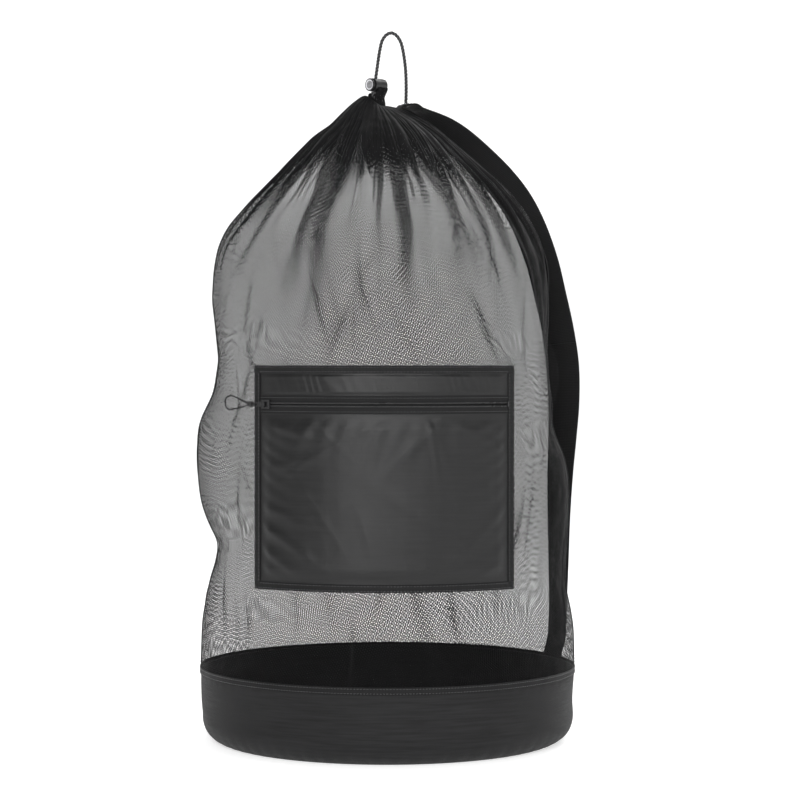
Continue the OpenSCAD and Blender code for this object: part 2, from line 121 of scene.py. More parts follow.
def make_object(name, verts, faces, uvs=None, smooth=True):
    """A mesh object. uvs has one pair for each vertex, or for each corner of each face."""
    mesh = bpy.data.meshes.new(name)
    mesh.from_pydata([tuple(v) for v in verts], [], [tuple(f) for f in faces])
    if uvs is not None:
        layer = mesh.uv_layers.new(name="cloth")
        corner = np.zeros(len(mesh.loops), int)
        mesh.loops.foreach_get("vertex_index", corner)
        pairs = np.asarray(uvs, float)
        if len(pairs) != len(mesh.loops):
            pairs = pairs[corner]
        layer.data.foreach_set("uv", pairs.astype(np.float32).ravel())
    mesh.polygons.foreach_set("use_smooth", [smooth] * len(mesh.polygons))
    mesh.validate()
    mesh.update()
    obj = bpy.data.objects.new(name, mesh)
    bpy.context.scene.collection.objects.link(obj)
    return obj


def grid_faces(rows, cols, closed_cols=False, closed_rows=False, start=0):
    faces = []
    last_col = cols if closed_cols else cols - 1
    last_row = rows if closed_rows else rows - 1
    for i in range(last_row):
        for k in range(last_col):
            a = start + i * cols + k
            b = start + i * cols + (k + 1) % cols
            c = start + ((i + 1) % rows) * cols + (k + 1) % cols
            d = start + ((i + 1) % rows) * cols + k
            faces.append((a, b, c, d))
    return faces


def add_map(obj, name, pairs):
    """A second set of two numbers for each vertex of a mesh."""
    corner = np.zeros(len(obj.data.loops), int)
    obj.data.loops.foreach_get("vertex_index", corner)
    layer = obj.data.uv_layers.new(name=name)
    layer.data.foreach_set("uv", np.asarray(pairs, float)[corner].astype(np.float32).ravel())


def sheet_object(name, points, uv):
    """An open sheet from a rows x cols x 3 array of points and a rows x cols x 2 array of cloth places."""
    rows, cols = points.shape[:2]
    return make_object(name, points.reshape(-1, 3), grid_faces(rows, cols), uv.reshape(-1, 2))


def frames_along(points, side):
    """Direction, side and up at each point, carried along so that they don't twist."""
    points = np.asarray(points, float)
    run = np.gradient(points, axis=0)
    run /= np.linalg.norm(run, axis=1)[:, None]
    sides = []
    s = np.array(side, float)
    for d in run:
        s = s - d * (s @ d)
        s /= np.linalg.norm(s)
        sides.append(s)
    sides = np.array(sides)
    return run, sides, np.cross(run, sides)


def sweep(name, points, section, side=(0, 0, 1), scale=None, closed=False, uv_scale=1.0):
    """A solid with that section (across, up) along a line. scale gives its size at each point."""
    points = np.asarray(points, float)
    run, sides, ups = frames_along(points, side)
    section = np.asarray(section, float)
    scale = np.ones(len(points)) if scale is None else np.asarray(scale, float)
    n = len(section)
    verts = (points[:, None, :] + scale[:, None, None]
             * (section[None, :, :1] * sides[:, None, :] + section[None, :, 1:] * ups[:, None, :]))
    faces = grid_faces(len(points), n, closed_cols=True, closed_rows=closed)
    along = np.concatenate([[0], np.cumsum(np.linalg.norm(np.diff(points, axis=0), axis=1))])
    edge = np.linalg.norm(np.diff(np.vstack([section, section[:1]]), axis=0), axis=1)
    around = np.concatenate([[0], np.cumsum(edge)])
    uvs = []
    for i in range(len(points) if closed else len(points) - 1):
        for k in range(n):
            j = along[i + 1] if i + 1 < len(points) else along[-1]
            uvs += [(around[k], along[i]), (around[k + 1], along[i]),
                    (around[k + 1], j), (around[k], j)]
    if not closed:
        last = (len(points) - 1) * n
        faces.append(tuple(range(n - 1, -1, -1)))
        faces.append(tuple(last + k for k in range(n)))
        uvs += [tuple(s) for s in section[::-1]] + [tuple(s) for s in section]
    obj = make_object(name, verts.reshape(-1, 3), faces, np.array(uvs) * uv_scale)
    return obj


def circle_section(radius, sides):
    return [(radius * math.cos(TAU * k / sides), radius * math.sin(TAU * k / sides))
            for k in range(sides)]


def rounded_section(width, thick, edge_steps=4, flat_steps=6, bow=0.0):
    """A flat band's section, width across and thick up, with round edges. bow bends its middle up."""
    r = thick / 2
    points = []
    for k in range(edge_steps + 1):
        a = -math.pi / 2 + math.pi * k / edge_steps
        points.append((width / 2 - r + r * math.cos(a), r * math.sin(a)))
    for k in range(1, flat_steps):
        points.append((width / 2 - r - (width - 2 * r) * k / flat_steps, r))
    for k in range(edge_steps + 1):
        a = math.pi / 2 + math.pi * k / edge_steps
        points.append((-width / 2 + r + r * math.cos(a), r * math.sin(a)))
    for k in range(1, flat_steps):
        points.append((-width / 2 + r + (width - 2 * r) * k / flat_steps, -r))
    return [(x, y - bow * (2 * x / width) ** 2) for x, y in points]


def lathe(name, profile, steps=48, origin=(0, 0, 0), axis=(0, 0, 1)):
    """A turned piece. profile is (radius, height) pairs; height runs along axis from origin."""
    turn = Vector((0, 0, 1)).rotation_difference(Vector(axis)).to_matrix()
    base = Vector(origin)
    verts = []
    for r, h in profile:
        for k in range(steps):
            a = TAU * k / steps
            verts.append(tuple(base + turn @ Vector((r * math.cos(a), r * math.sin(a), h))))
    faces = grid_faces(len(profile), steps, closed_cols=True)
    faces.append(tuple(range(steps - 1, -1, -1)))
    faces.append(tuple((len(profile) - 1) * steps + k for k in range(steps)))
    return make_object(name, verts, faces)


def merge(name, objects):
    """Joins objects into one piece with that name."""
    depsgraph = bpy.context.evaluated_depsgraph_get()
    verts, faces, uvs, smooth, slots = [], [], [], [], []
    for obj in objects:
        mesh = obj.evaluated_get(depsgraph).to_mesh()
        start = len(verts)
        matrix = obj.matrix_world
        verts += [tuple(matrix @ v.co) for v in mesh.vertices]
        layer = mesh.uv_layers.active
        for poly in mesh.polygons:
            faces.append(tuple(start + v for v in poly.vertices))
            smooth.append(poly.use_smooth)
            slots.append(poly.material_index)
            for loop in poly.loop_indices:
                uvs.append(tuple(layer.data[loop].uv) if layer else (0, 0))
        obj.evaluated_get(depsgraph).to_mesh_clear()
    joined = make_object(name, verts, faces, uvs)
    joined.data.polygons.foreach_set("use_smooth", smooth)
    for obj in objects:
        bpy.data.objects.remove(obj)
    return joined


def stitches(name, lines, length=3.0 * MM, gap=1.1 * MM, radius=0.33 * MM):
    """Rows of sewing thread: a short raised stitch every length + gap along each line."""
    sides = 5
    shape = [(0.0, 0.25, -0.9), (0.18, 0.9, 0.2), (0.5, 1.0, 0.5), (0.82, 0.9, 0.2), (1.0, 0.25, -0.9)]
    verts, faces = [], []
    for points, normals in lines:
        points = np.asarray(points, float)
        normals = np.asarray(normals, float)
        steps = np.linalg.norm(np.diff(points, axis=0), axis=1)
        run = np.concatenate([[0], np.cumsum(steps)])
        count = int(run[-1] / (length + gap))
        pitch = run[-1] / max(count, 1)
        for s in range(count):
            begin = s * pitch + gap / 2
            at = [begin + t * (pitch - gap) for t, _, _ in shape]
            p = np.stack([np.interp(at, run, points[:, k]) for k in range(3)], axis=1)
            n = np.stack([np.interp(at, run, normals[:, k]) for k in range(3)], axis=1)
            n /= np.linalg.norm(n, axis=1)[:, None]
            d = p[-1] - p[0]
            d /= np.linalg.norm(d)
            start = len(verts)
            for (t, size, lift), q, m in zip(shape, p, n):
                across = np.cross(d, m)
                for k in range(sides):
                    a = TAU * k / sides
                    verts.append(q + m * lift * radius
                                 + size * radius * (math.cos(a) * across + math.sin(a) * m))
            faces += grid_faces(len(shape), sides, closed_cols=True, start=start)
            faces.append(tuple(start + k for k in range(sides - 1, -1, -1)))
            faces.append(tuple(start + (len(shape) - 1) * sides + k for k in range(sides)))
    return make_object(name, verts, faces)


# ---------------------------------------------------------------- materials

class Nodes:
    """A short way to write a material's nodes."""

    def __init__(self, name):
        self.material = bpy.data.materials.new(name)
        self.material.use_nodes = True
        self.tree = self.material.node_tree
        self.shader = self.tree.nodes["Principled BSDF"]
        self.output = self.tree.nodes["Material Output"]

    def add(self, kind, links=(), **settings):
        node = self.tree.nodes.new(kind)
        for key, value in settings.items():
            setattr(node, key, value)
        for socket, value in dict(links).items():
            self.put(node.inputs[socket], value)
        return node

    def put(self, socket, value):
        if isinstance(value, bpy.types.NodeSocket):
            self.tree.links.new(value, socket)
        else:
            socket.default_value = value

    def math(self, operation, a, b=0.0, c=0.0):
        node = self.add("ShaderNodeMath", operation=operation)
        for socket, value in zip(node.inputs, (a, b, c)):
            self.put(socket, value)
        return node.outputs[0]

    def blend(self, fraction, a, b):
        """A colour between a and b."""
        node = self.add("ShaderNodeMix", data_type="RGBA")
        for socket, value in zip((node.inputs[0], node.inputs[6], node.inputs[7]), (fraction, a, b)):
            self.put(socket, value)
        return node.outputs[2]

    def span(self, value, low, high, to_low=0.0, to_high=1.0):
        node = self.add("ShaderNodeMapRange", clamp=True)
        for socket, number in zip(node.inputs, (value, low, high, to_low, to_high)):
            self.put(socket, number)
        return node.outputs[0]

    def noise(self, scale, detail=2.0, stretch=(1, 1, 1), space="Object", rough=0.5):
        place = self.add("ShaderNodeTexCoord").outputs[space]
        spread = self.add("ShaderNodeMapping", {"Vector": place, "Scale": stretch})
        node = self.add("ShaderNodeTexNoise", {"Vector": spread.outputs[0], "Scale": scale,
                                               "Detail": detail, "Roughness": rough})
        return node.outputs["Fac"]

    def cloth_place(self):
        """The two distances along the cloth, in metres."""
        split = self.add("ShaderNodeSeparateXYZ", {"Vector": self.add("ShaderNodeUVMap", uv_map="cloth").outputs[0]})
        return split.outputs[0], split.outputs[1]

    def wave(self, place, pitch, shift=0.0):
        """Runs from 0 to 1 and back once for each pitch along place."""
        turns = self.math("MULTIPLY", place, TAU / pitch)
        return self.math("MULTIPLY_ADD", self.math("SINE", self.math("ADD", turns, shift)), 0.5, 0.5)

    def bump(self, height, distance, strength=1.0, after=None):
        node = self.add("ShaderNodeBump", {"Height": height, "Distance": distance, "Strength": strength})
        if after is not None:
            self.put(node.inputs["Normal"], after)
        return node.outputs[0]

    def finish(self, colour, roughness, normal=None, **plain):
        self.put(self.shader.inputs["Base Color"], colour)
        self.put(self.shader.inputs["Roughness"], roughness)
        if normal is not None:
            self.put(self.shader.inputs["Normal"], normal)
        for key, value in plain.items():
            self.shader.inputs[key.replace("_", " ")].default_value = value
        return self.material


def grey(level, warm=0.0):
    return (level * (1 + warm), level, level * (1 - warm) * 1.04, 1.0)


def woven(name, dark, light, pitch=0.6 * MM, slub=0.5, shine=0.2, rough=(0.62, 0.8), lift=0.12 * MM):
    """A plain weave of flat yarns, with thicker yarns here and there along the weft."""
    m = Nodes(name)
    u, v = m.cloth_place()
    warp = m.wave(u, pitch)
    weft = m.wave(v, pitch, 1.2)
    over = m.wave(m.math("ADD", u, v), 2 * pitch)
    weave = m.math("MULTIPLY_ADD", m.math("MAXIMUM", warp, weft), 0.7, m.math("MULTIPLY", over, 0.3))
    slubs = m.noise(140, 3, (0.12, 0.12, 2.6))
    patches = m.noise(9, 4)
    height = m.math("MULTIPLY_ADD", slubs, slub, weave)
    streaks = m.math("MULTIPLY", m.span(slubs, 0.32, 0.68), 0.3 + 0.25 * slub)
    tone = m.math("MULTIPLY_ADD", weave, 0.25, m.math("MULTIPLY_ADD", patches, 0.3, streaks))
    colour = m.blend(m.span(tone, 0.2, 0.9), dark, light)
    roughness = m.span(slubs, 0.3, 0.7, *rough)
    return m.finish(colour, roughness, m.bump(height, lift, 0.8), Sheen_Weight=0.03,
                    Sheen_Roughness=0.4, Specular_IOR_Level=shine)


def ribbed(name, dark, light, pitch=1.6 * MM, along=True, rough=0.7, lift=0.2 * MM, twill=0.0):
    """A narrow woven tape with ribs across it."""
    m = Nodes(name)
    u, v = m.cloth_place()
    if twill:
        v = m.math("MULTIPLY_ADD", u, twill, v)
    ribs = m.wave(v if along else u, pitch)
    yarn = m.wave(u if along else v, pitch * 0.45)
    height = m.math("MULTIPLY_ADD", yarn, 0.35, ribs)
    wear = m.noise(30, 4)
    tone = m.math("MULTIPLY_ADD", ribs, 0.5, m.math("MULTIPLY", wear, 0.5))
    colour = m.blend(tone, dark, light)
    return m.finish(colour, m.span(wear, 0.3, 0.7, rough - 0.08, rough + 0.1),
                    m.bump(height, lift, 0.7), Sheen_Weight=0.03, Specular_IOR_Level=0.18)


def net_material(name, turn, hole=1.15 * MM, across=3.6 * MM, up=5.4 * MM):
    """Knitted net: black yarn with two staggered sets of oval holes that light goes through.

    turn leans the knit, so that its near and far sides cross and don't fall in step.

    The second map says how much the net is gathered, which draws its holes closed.
    """
    m = Nodes(name)
    u, v = m.cloth_place()
    gather = m.add("ShaderNodeSeparateXYZ", {"Vector": m.add("ShaderNodeUVMap", uv_map="gather").outputs[0]})
    open_share = gather.outputs[0]
    wander = m.math("MULTIPLY", m.math("SUBTRACT", m.noise(25, 2), 0.5), 1.2 * MM)
    u = m.math("ADD", u, wander)
    c, s = math.cos(turn), math.sin(turn)
    u, v = (m.math("MULTIPLY_ADD", u, c, m.math("MULTIPLY", v, s)),
            m.math("MULTIPLY_ADD", v, c, m.math("MULTIPLY", u, -s)))

    def from_hole(shift):
        x = m.math("SUBTRACT", m.math("FRACT", m.math("MULTIPLY_ADD", u, 1 / across, shift)), 0.5)
        y = m.math("SUBTRACT", m.math("FRACT", m.math("MULTIPLY_ADD", v, 1 / up, shift)), 0.5)
        x = m.math("MULTIPLY", x, across)
        y = m.math("MULTIPLY", y, up * 0.9)
        squares = m.math("MULTIPLY_ADD", x, x, m.math("MULTIPLY", y, y))
        return m.math("SQRT", squares)

    nearest = m.math("MINIMUM", from_hole(0.0), from_hole(0.5))
    size = m.math("MULTIPLY", open_share, hole)
    beyond = m.math("SUBTRACT", nearest, size)
    yarn = m.span(beyond, -0.1 * MM, 0.1 * MM)
    ridge_and_painted_shade = m.span(beyond, 0.0, 0.4 * MM)
    shine = m.noise(60, 2)
    # The yarn's colour is painted shade where it dips to each hole's edge and painted light along its ridges; the same
    # ridge drives the bump.
    m.finish(m.blend(ridge_and_painted_shade, grey(0.001), grey(0.010)), m.span(shine, 0.3, 0.7, 0.5, 0.7),
             m.bump(ridge_and_painted_shade, 0.3 * MM, 0.8), Specular_IOR_Level=0.05)
    clear = m.add("ShaderNodeBsdfTransparent")
    mix = m.add("ShaderNodeMixShader", {0: yarn, 1: clear.outputs[0], 2: m.shader.outputs[0]})
    m.tree.links.new(mix.outputs[0], m.output.inputs["Surface"])
    return m.material


def rope_material(name, paint_strand_shade=True):
    """Shiny cord. Unless turned off, it paints shade between its strands, where the map "crown" is low, and paints a
    highlight on their crowns, where it is high.
    """
    m = Nodes(name)
    u, v = m.cloth_place()
    fibre = m.wave(m.math("MULTIPLY_ADD", u, 1.4, v), 0.7 * MM)
    fuzz = m.noise(900, 3)
    tone = m.math("MULTIPLY_ADD", fibre, 0.5, m.math("MULTIPLY", fuzz, 0.5))
    light = grey(0.02)
    if paint_strand_shade:
        crown = m.add("ShaderNodeSeparateXYZ", {"Vector": m.add("ShaderNodeUVMap", uv_map="crown").outputs[0]})
        # Painted shade in the grooves between the strands and a painted highlight along the strands' crowns.
        top = m.span(crown.outputs[0], 0.78, 0.99)
        light = m.blend(top, grey(0.002), grey(0.14))
    return m.finish(m.blend(tone, grey(0.002), light), m.span(fuzz, 0.3, 0.7, 0.3, 0.45),
                    m.bump(fibre, 0.10 * MM, 0.8), Specular_IOR_Level=0.25)


def plastic_material(name, base, rough=0.3, speck=0.06):
    m = Nodes(name)
    haze = m.noise(45, 5)
    grain = m.noise(2500, 2)
    return m.finish(m.blend(haze, base, tuple(min(1, c * 1.25 + 0.004) for c in base[:3]) + (1,)),
                    m.span(haze, 0.3, 0.7, rough - speck, rough + speck),
                    m.bump(grain, 0.02 * MM, 0.5), Specular_IOR_Level=0.5, Coat_Weight=0.15)


def metal_material(name, base, rough=0.25, lacquer=0.0):
    m = Nodes(name)
    rub = m.noise(300, 4, (1, 1, 6))
    worn = m.noise(70, 5)
    return m.finish(m.blend(m.span(worn, 0.45, 0.75), base, tuple(c * 0.6 for c in base[:3]) + (1,)),
                    m.span(rub, 0.3, 0.7, rough - 0.08, rough + 0.12),
                    m.bump(rub, 0.02 * MM, 0.4), Metallic=1.0 - lacquer, Coat_Weight=lacquer)


def thread_material(name, level=0.03):
    m = Nodes(name)
    u = m.noise(1500, 2)
    return m.finish(m.blend(u, grey(level * 0.5), grey(level * 1.5)), 0.5,
                    m.bump(u, 0.08 * MM, 0.8), Sheen_Weight=0.3)


BAND_CLOTH = woven("band_cloth", grey(0.004), grey(0.018), 0.62 * MM, 0.9)
POCKET_CLOTH = woven("pocket_cloth", grey(0.003), grey(0.009), 0.45 * MM, 0.4, 0.32, (0.33, 0.42), 0.08 * MM)
LINING_CLOTH = woven("lining_cloth", grey(0.006), grey(0.016), 0.5 * MM, 0.3)
TAPE = ribbed("binding_tape", grey(0.003), grey(0.014), 1.5 * MM, twill=0.6)
ZIP_TAPE = ribbed("zip_tape", grey(0.004), grey(0.012), 0.9 * MM, along=False)
WEBBING = ribbed("webbing", grey(0.003), grey(0.015), 2.2 * MM, lift=0.3 * MM)
NET = net_material("net", turn=math.radians(15))
ROPE = rope_material("rope")
PULL_ROPE = rope_material("pull_rope", paint_strand_shade=False)
THREAD = thread_material("thread")
LOCK_PLASTIC = plastic_material("lock_plastic", grey(0.008), 0.3)
COIL_PLASTIC = plastic_material("coil_plastic", grey(0.012), 0.32)
STEEL = metal_material("steel", grey(0.55), 0.22)
DARK_METAL = metal_material("dark_metal", grey(0.05), 0.3, 0.3)
SLIDER_METAL = metal_material("slider_metal", grey(0.03), 0.22, 0.3)


def dress(obj, material, body, slot, *nodes):
    """Gives a piece its material and body, and hides the CAD nodes that it stands for. slot is not used."""
    obj.data.materials.clear()
    obj.data.materials.append(material)
    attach(obj, body)
    if nodes:
        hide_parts(*nodes)
    return obj


# ---------------------------------------------------------------- camera and light

def make_camera():
    data = bpy.data.cameras.new("camera")
    data.lens = 111.1
    data.sensor_width = 36
    camera = bpy.data.objects.new("camera", data)
    camera.location = (0.0167, -3.3, 0.507)
    camera.rotation_euler = (math.radians(90 - 0.934), 0, 0)
    bpy.context.scene.collection.objects.link(camera)
    bpy.context.scene.camera = camera


def area_light(name, place, aim, size, power):
    data = bpy.data.lights.new(name, "AREA")
    data.shape = "RECTANGLE"
    data.size, data.size_y = size
    data.energy = power
    light = bpy.data.objects.new(name, data)
    light.location = place
    light.rotation_euler = (Vector(aim) - Vector(place)).to_track_quat("-Z", "Y").to_euler()
    bpy.context.scene.collection.objects.link(light)


def make_studio():
    """A white sweep behind and under the bag, and three soft lights."""
    wide = 250
    bend = [(-wide, 0)] + [(4 + 2 * math.sin(t), 2 - 2 * math.cos(t)) for t in np.linspace(0, math.pi / 2, 16)] + [(6, 16)]
    verts = [(x, y, z) for y, z in bend for x in (-wide, wide)]
    sweep_faces = [(2 * i, 2 * i + 1, 2 * i + 3, 2 * i + 2) for i in range(len(bend) - 1)]
    backdrop = make_object("studio_sweep", verts, sweep_faces)
    m = Nodes("studio_sweep")
    m.finish((0.7, 0.7, 0.7, 1), 0.9)
    m.shader.inputs["Emission Color"].default_value = (1, 1, 1, 1)
    m.shader.inputs["Emission Strength"].default_value = 0.62
    backdrop.data.materials.append(m.material)
    world = bpy.data.worlds.new("studio")
    world.use_nodes = True
    world.node_tree.nodes["Background"].inputs[0].default_value = (1, 1, 1, 1)
    world.node_tree.nodes["Background"].inputs[1].default_value = 0.34
    bpy.context.scene.world = world
    bpy.context.scene.view_settings.view_transform = "Standard"
    area_light("key", (-0.35, -3.6, 1.35), (0, 0, 0.45), (1.0, 1.0), 95)
    area_light("fill", (2.6, -1.8, 1.0), (0, 0, 0.45), (1.2, 1.6), 16)
    area_light("rim", (1.4, 2.0, 2.0), (0, 0, 0.6), (1.2, 1.2), 40)


make_camera()
make_studio()

# ---------------------------------------------------------------- drawcord

TUNNEL_R = 8.75 * MM
CORD_LEAN = np.array([0.139, 0, 0.990])


def in_tunnel(degrees, z):
    a = math.radians(degrees)
    return np.array([NECK_X + TUNNEL_R * math.cos(a), TUNNEL_R * math.sin(a), z * MM])


CORD_EXIT = in_tunnel(248, HEM_TOP / MM)
drawcord_route = [
    in_tunnel(0, 849), in_tunnel(330, 849), in_tunnel(300, 850), in_tunnel(275, 852.5),
    CORD_EXIT - 4.5 * MM * CORD_LEAN + np.array([0.4 * MM, 0, 0]),
    CORD_EXIT,
    CORD_EXIT + 18 * MM * CORD_LEAN,
    CORD_EXIT + 36 * MM * CORD_LEAN,
    CORD_EXIT + 48 * MM * CORD_LEAN,
] + [np.array(p) * MM for p in (
    (-9.5, -7, 922), (-7, -6, 931.5), (-2, -4, 939), (5, -1, 942.5), (12, 2, 939.5),
    (17.5, 5, 931.5), (20.5, 7, 921), (23, 9, 906), (24.5, 10, 890), (25, 10.5, 872),
    (24.8, 10.8, 858), (24.5, 11, 850), (24.5, 11, 844.5))]


def strand(points, run, sides, ups, turn, lay_r, strand_r, pitch, phase, ring=10):
    """One strand of a twisted rope."""
    step = np.linalg.norm(np.diff(points, axis=0), axis=1)
    along = np.concatenate([[0], np.cumsum(step)])
    a = TAU * along / pitch * turn + phase
    line = points + lay_r * (np.cos(a)[:, None] * sides + np.sin(a)[:, None] * ups)
    return sweep("strand", line, circle_section(strand_r, ring), side=(0.1, 1, 0.2))


def twisted_rope(name, route, diameter, pitch, strands=3, step=0.7 * MM, ring=10):
    points = evenly(smooth_curve(route, 12), step)
    run, sides, ups = frames_along(points, (0, 0.3, 1))
    strand_r = diameter / 2 * 0.465
    lay_r = diameter / 2 - strand_r
    parts = [strand(points, run, sides, ups, 1, lay_r, strand_r, pitch, TAU * k / strands, ring)
             for k in range(strands)]
    rope = merge(name, parts)
    places = np.array([v.co[:] for v in rope.data.vertices]).reshape(strands, len(points), ring, 3)
    crown = np.linalg.norm(places - points[None, :, None], axis=3) / (diameter / 2)
    # crown: each point's distance from the rope's middle, which the rope material turns into painted shade between the
    # strands and a painted highlight on their crowns.
    add_map(rope, "crown", np.stack([crown.ravel()] * 2, axis=1))
    return rope, points


drawcord, drawcord_line = twisted_rope("drawcord_rope", drawcord_route, CORD_D, 14 * MM)
dress(drawcord, ROPE, "bag", "cord", "drawcord")

# ---------------------------------------------------------------- the net's shape

# Height, radius and sideways lean of the net round its middle.
NET_PROFILE = np.array([
    (97, 248.6, 0), (150, 246.5, 0), (205, 243.2, 0), (505, 243.2, 0), (540, 240, -2), (580, 232, -5),
    (620, 224, -8), (650, 214, -9), (680, 199, -9), (710, 178, -8), (740, 151, -7), (770, 120, -8),
    (800, 88, -10), (820, 62, -12), (835, 36, -14), (845, 14, -15)]) * MM
# The left and right edges of the filled bag, as height and distance from the axis.
LEFT_EDGE = np.array([
    (97, 249), (159, 247), (199, 240), (240, 228), (262, 223), (285, 237), (311, 247), (336, 251),
    (362, 253), (401, 252), (427, 249), (461, 232), (507, 224), (550, 229), (587, 234), (626, 231),
    (657, 224), (685, 210), (716, 183), (746, 152), (782, 116), (800, 98), (810, 85), (820, 70), (828, 58),
    (835, 46), (845, 29)]) * MM
RIGHT_EDGE = np.array([
    (97, 249), (149, 248), (175, 244), (205, 237), (240, 237), (280, 240), (330, 242), (356, 240),
    (379, 235), (402, 225), (418, 219), (444, 218), (490, 214), (527, 211), (573, 213), (616, 213),
    (643, 209), (678, 195), (704, 180), (735, 154), (770, 113), (804, 72), (825, 44), (836, 25), (846, 4)]) * MM
# What pushes the net out: the middle of each ball, and its radius.
BALLS = np.array([
    (-133, -10, 375, 119), (-130, 20, 140, 114), (0, -120, 140, 118), (120, 30, 145, 118),
    (-20, 125, 150, 112), (-128, -40, 600, 100), (16, -108, 655, 97), (40, -128, 548, 104),
    (-105, -110, 500, 88), (120, 20, 620, 96), (118, -20, 325, 122), (10, 128, 400, 112),
    (-30, 110, 600, 105), (0, -10, 735, 92)]) * MM
# The deep folds that run down from the neck: direction at the neck and lower down in degrees, half the
# fold's width in millimetres, and the height where it dies out.
NECK_FOLDS = [
    (182, 180, 8, 600), (196, 191, 8, 630), (209, 201, 7, 580), (220, 208, 3.5, 660), (233, 216, 1.8, 660),
    (238, 223, 1.5, 700), (243, 231, 1.6, 680), (250, 246.5, 13, 570), (259, 258, 5, 660), (267, 268, 6, 690),
    (278, 279, 6, 640), (288, 288, 5, 680), (297, 299, 12, 600), (307, 307.5, 3, 700), (314, 316, 5, 620),
    (320, 323, 1.8, 690), (328, 332, 2.2, 700), (338, 341, 6, 640), (350, 350, 8, 580), (2, 1, 8, 620),
    (14, 16, 6, 660), (27, 29, 9, 600), (40, 41, 3, 690), (52, 50, 9, 620), (66, 68, 4, 700), (78, 80, 11, 580),
    (92, 91, 4, 660), (103, 104, 9, 630), (117, 119, 4, 700), (129, 128, 11, 590), (143, 145, 4, 680),
    (155, 153, 9, 620), (168, 168, 7, 660)]
# The clear gaps between them: direction and height of the tip, then direction and half the width in degrees
# at a height of 740 mm.
NECK_GAPS = [
    (244, 822, 227, 13), (272, 766, 273, 15), (307, 800, 311, 4), (318, 812, 329, 9), (20, 790, 20, 5),
    (62, 800, 59, 8), (110, 820, 105, 12), (146, 800, 140, 9)]
NET_STEPS = 900
NET_ROWS = 210


def ease(value, low, high):
    t = np.clip((value - low) / (high - low), 0, 1)
    return t * t * (3 - 2 * t)


def net_mid(z):
    return np.interp(z, NET_PROFILE[:, 0], NET_PROFILE[:, 2])


def net_levels():
    """Heights evenly spaced along the cloth, and how far along the cloth each is."""
    z = np.linspace(BAND_H, NET_PROFILE[-1, 0], 4000)
    r = np.interp(z, NET_PROFILE[:, 0], NET_PROFILE[:, 1])
    run = np.concatenate([[0], np.cumsum(np.hypot(np.diff(z), np.diff(r)))])
    at = np.linspace(0, run[-1], NET_ROWS)
    return np.interp(at, run, z), at


def soft_noise(seed, rows, cols, rough):
    """Smooth wander over the net, the same each run. rough is how many bumps there are round the bag."""
    a = np.linspace(0, TAU, cols, endpoint=False)
    out = np.zeros((rows, cols))
    z = np.linspace(0, 1, rows)
    rng = np.random.default_rng(seed)
    for _ in range(14):
        n = rng.integers(max(1, rough // 2), rough + 1)
        m = rng.uniform(0.2, 1.0) * rough * 0.55
        out += np.cos(n * a[None, :] + TAU * m * z[:, None] * 0.5 + rng.uniform(0, TAU))
    return out / np.abs(out).max()


def ball_reach(angle, z):
    """How far out from the net's axis the balls reach, at each angle and height."""
    reach = np.zeros(angle.shape)
    for x, y, height, radius in BALLS:
        slice_r2 = radius ** 2 - (z - height) ** 2
        along = (x - net_mid(z)) * np.cos(angle) + y * np.sin(angle)
        off2 = (x - net_mid(z)) ** 2 + y ** 2 - along ** 2
        inside = slice_r2 - off2
        reach = np.maximum(reach, np.where(inside > 0, along + np.sqrt(np.maximum(inside, 0)), 0))
    return reach


def angle_from(angle, centre):
    return np.abs((angle - centre + math.pi) % TAU - math.pi)


def edge_at(edge, z):
    """How far out that edge of the bag is at each height, eased over its corners."""
    reach = 7 * MM * (1 - ease(z, 0.77, 0.80))
    return sum(np.interp(z + s * reach, edge[:, 0], edge[:, 1]) for s in (-1, -0.5, 0, 0.5, 1)) / 5


def net_radius(angle, z):
    """The distance of the net's outer ridges from its axis."""
    free = np.interp(z, NET_PROFILE[:, 0], NET_PROFILE[:, 1])
    reach = np.minimum(ball_reach(angle, z), free + 5 * MM)
    sag = free - 16 * MM * ease(z, 0.10, 0.16) * ease(0.80 - z, 0.0, 0.1)
    drawn = np.maximum(sag, reach)
    for _ in range(60):
        spread = drawn.copy()
        spread[1:-1] = (drawn[:-2] + drawn[2:] + np.roll(drawn, 1, 1)[1:-1] + np.roll(drawn, -1, 1)[1:-1]) / 4
        drawn = np.maximum(0.88 * spread + 0.12 * sag, reach)
        drawn[0] = free[0]
        drawn[-1] = free[-1]
    for _ in range(12):
        spread = drawn.copy()
        spread[1:-1] = (drawn[:-2] + drawn[2:] + np.roll(drawn, 1, 1)[1:-1] + np.roll(drawn, -1, 1)[1:-1]) / 4
        drawn = spread
    wide = np.where((angle % TAU) < math.pi, 60, 42)
    near_left = 1 - ease(angle_from(angle, math.pi), 0, np.radians(wide))
    near_right = 1 - ease(angle_from(angle, 0), 0, np.radians(wide))
    left = edge_at(LEFT_EDGE, z) + net_mid(z)
    right = edge_at(RIGHT_EDGE, z) - net_mid(z)
    upper = ease(z, 0.80, 0.83)
    left = left * (1 - upper) + upper * np.minimum(left, free * 1.35)
    right = right * (1 - upper) + upper * np.minimum(right, free * 1.15)
    radius = drawn * (1 - near_left - near_right) + near_left * left + near_right * right
    under = (1 - ease(angle_from(angle, POCKET_MID), POCKET_HALF, POCKET_HALF + 0.35)) \
        * ease(z, POCKET_Z - 0.05, POCKET_Z - 0.005) * (1 - ease(z, POCKET_TOP + 0.005, POCKET_TOP + 0.05))
    held = BACKING_R - 0.7 * MM
    radius = radius * (1 - under) + held * under
    over = (angle_from(angle, POCKET_MID) < POCKET_HALF + 0.01) & (z > POCKET_Z - 0.004) & (z < POCKET_TOP + 0.004)
    return np.where(over, np.minimum(radius, held), radius)


def ridge(turns):
    """1 on a fold's rounded crest and 0 in its sharp valley."""
    return np.abs(np.cos(turns / 2)) ** 0.85


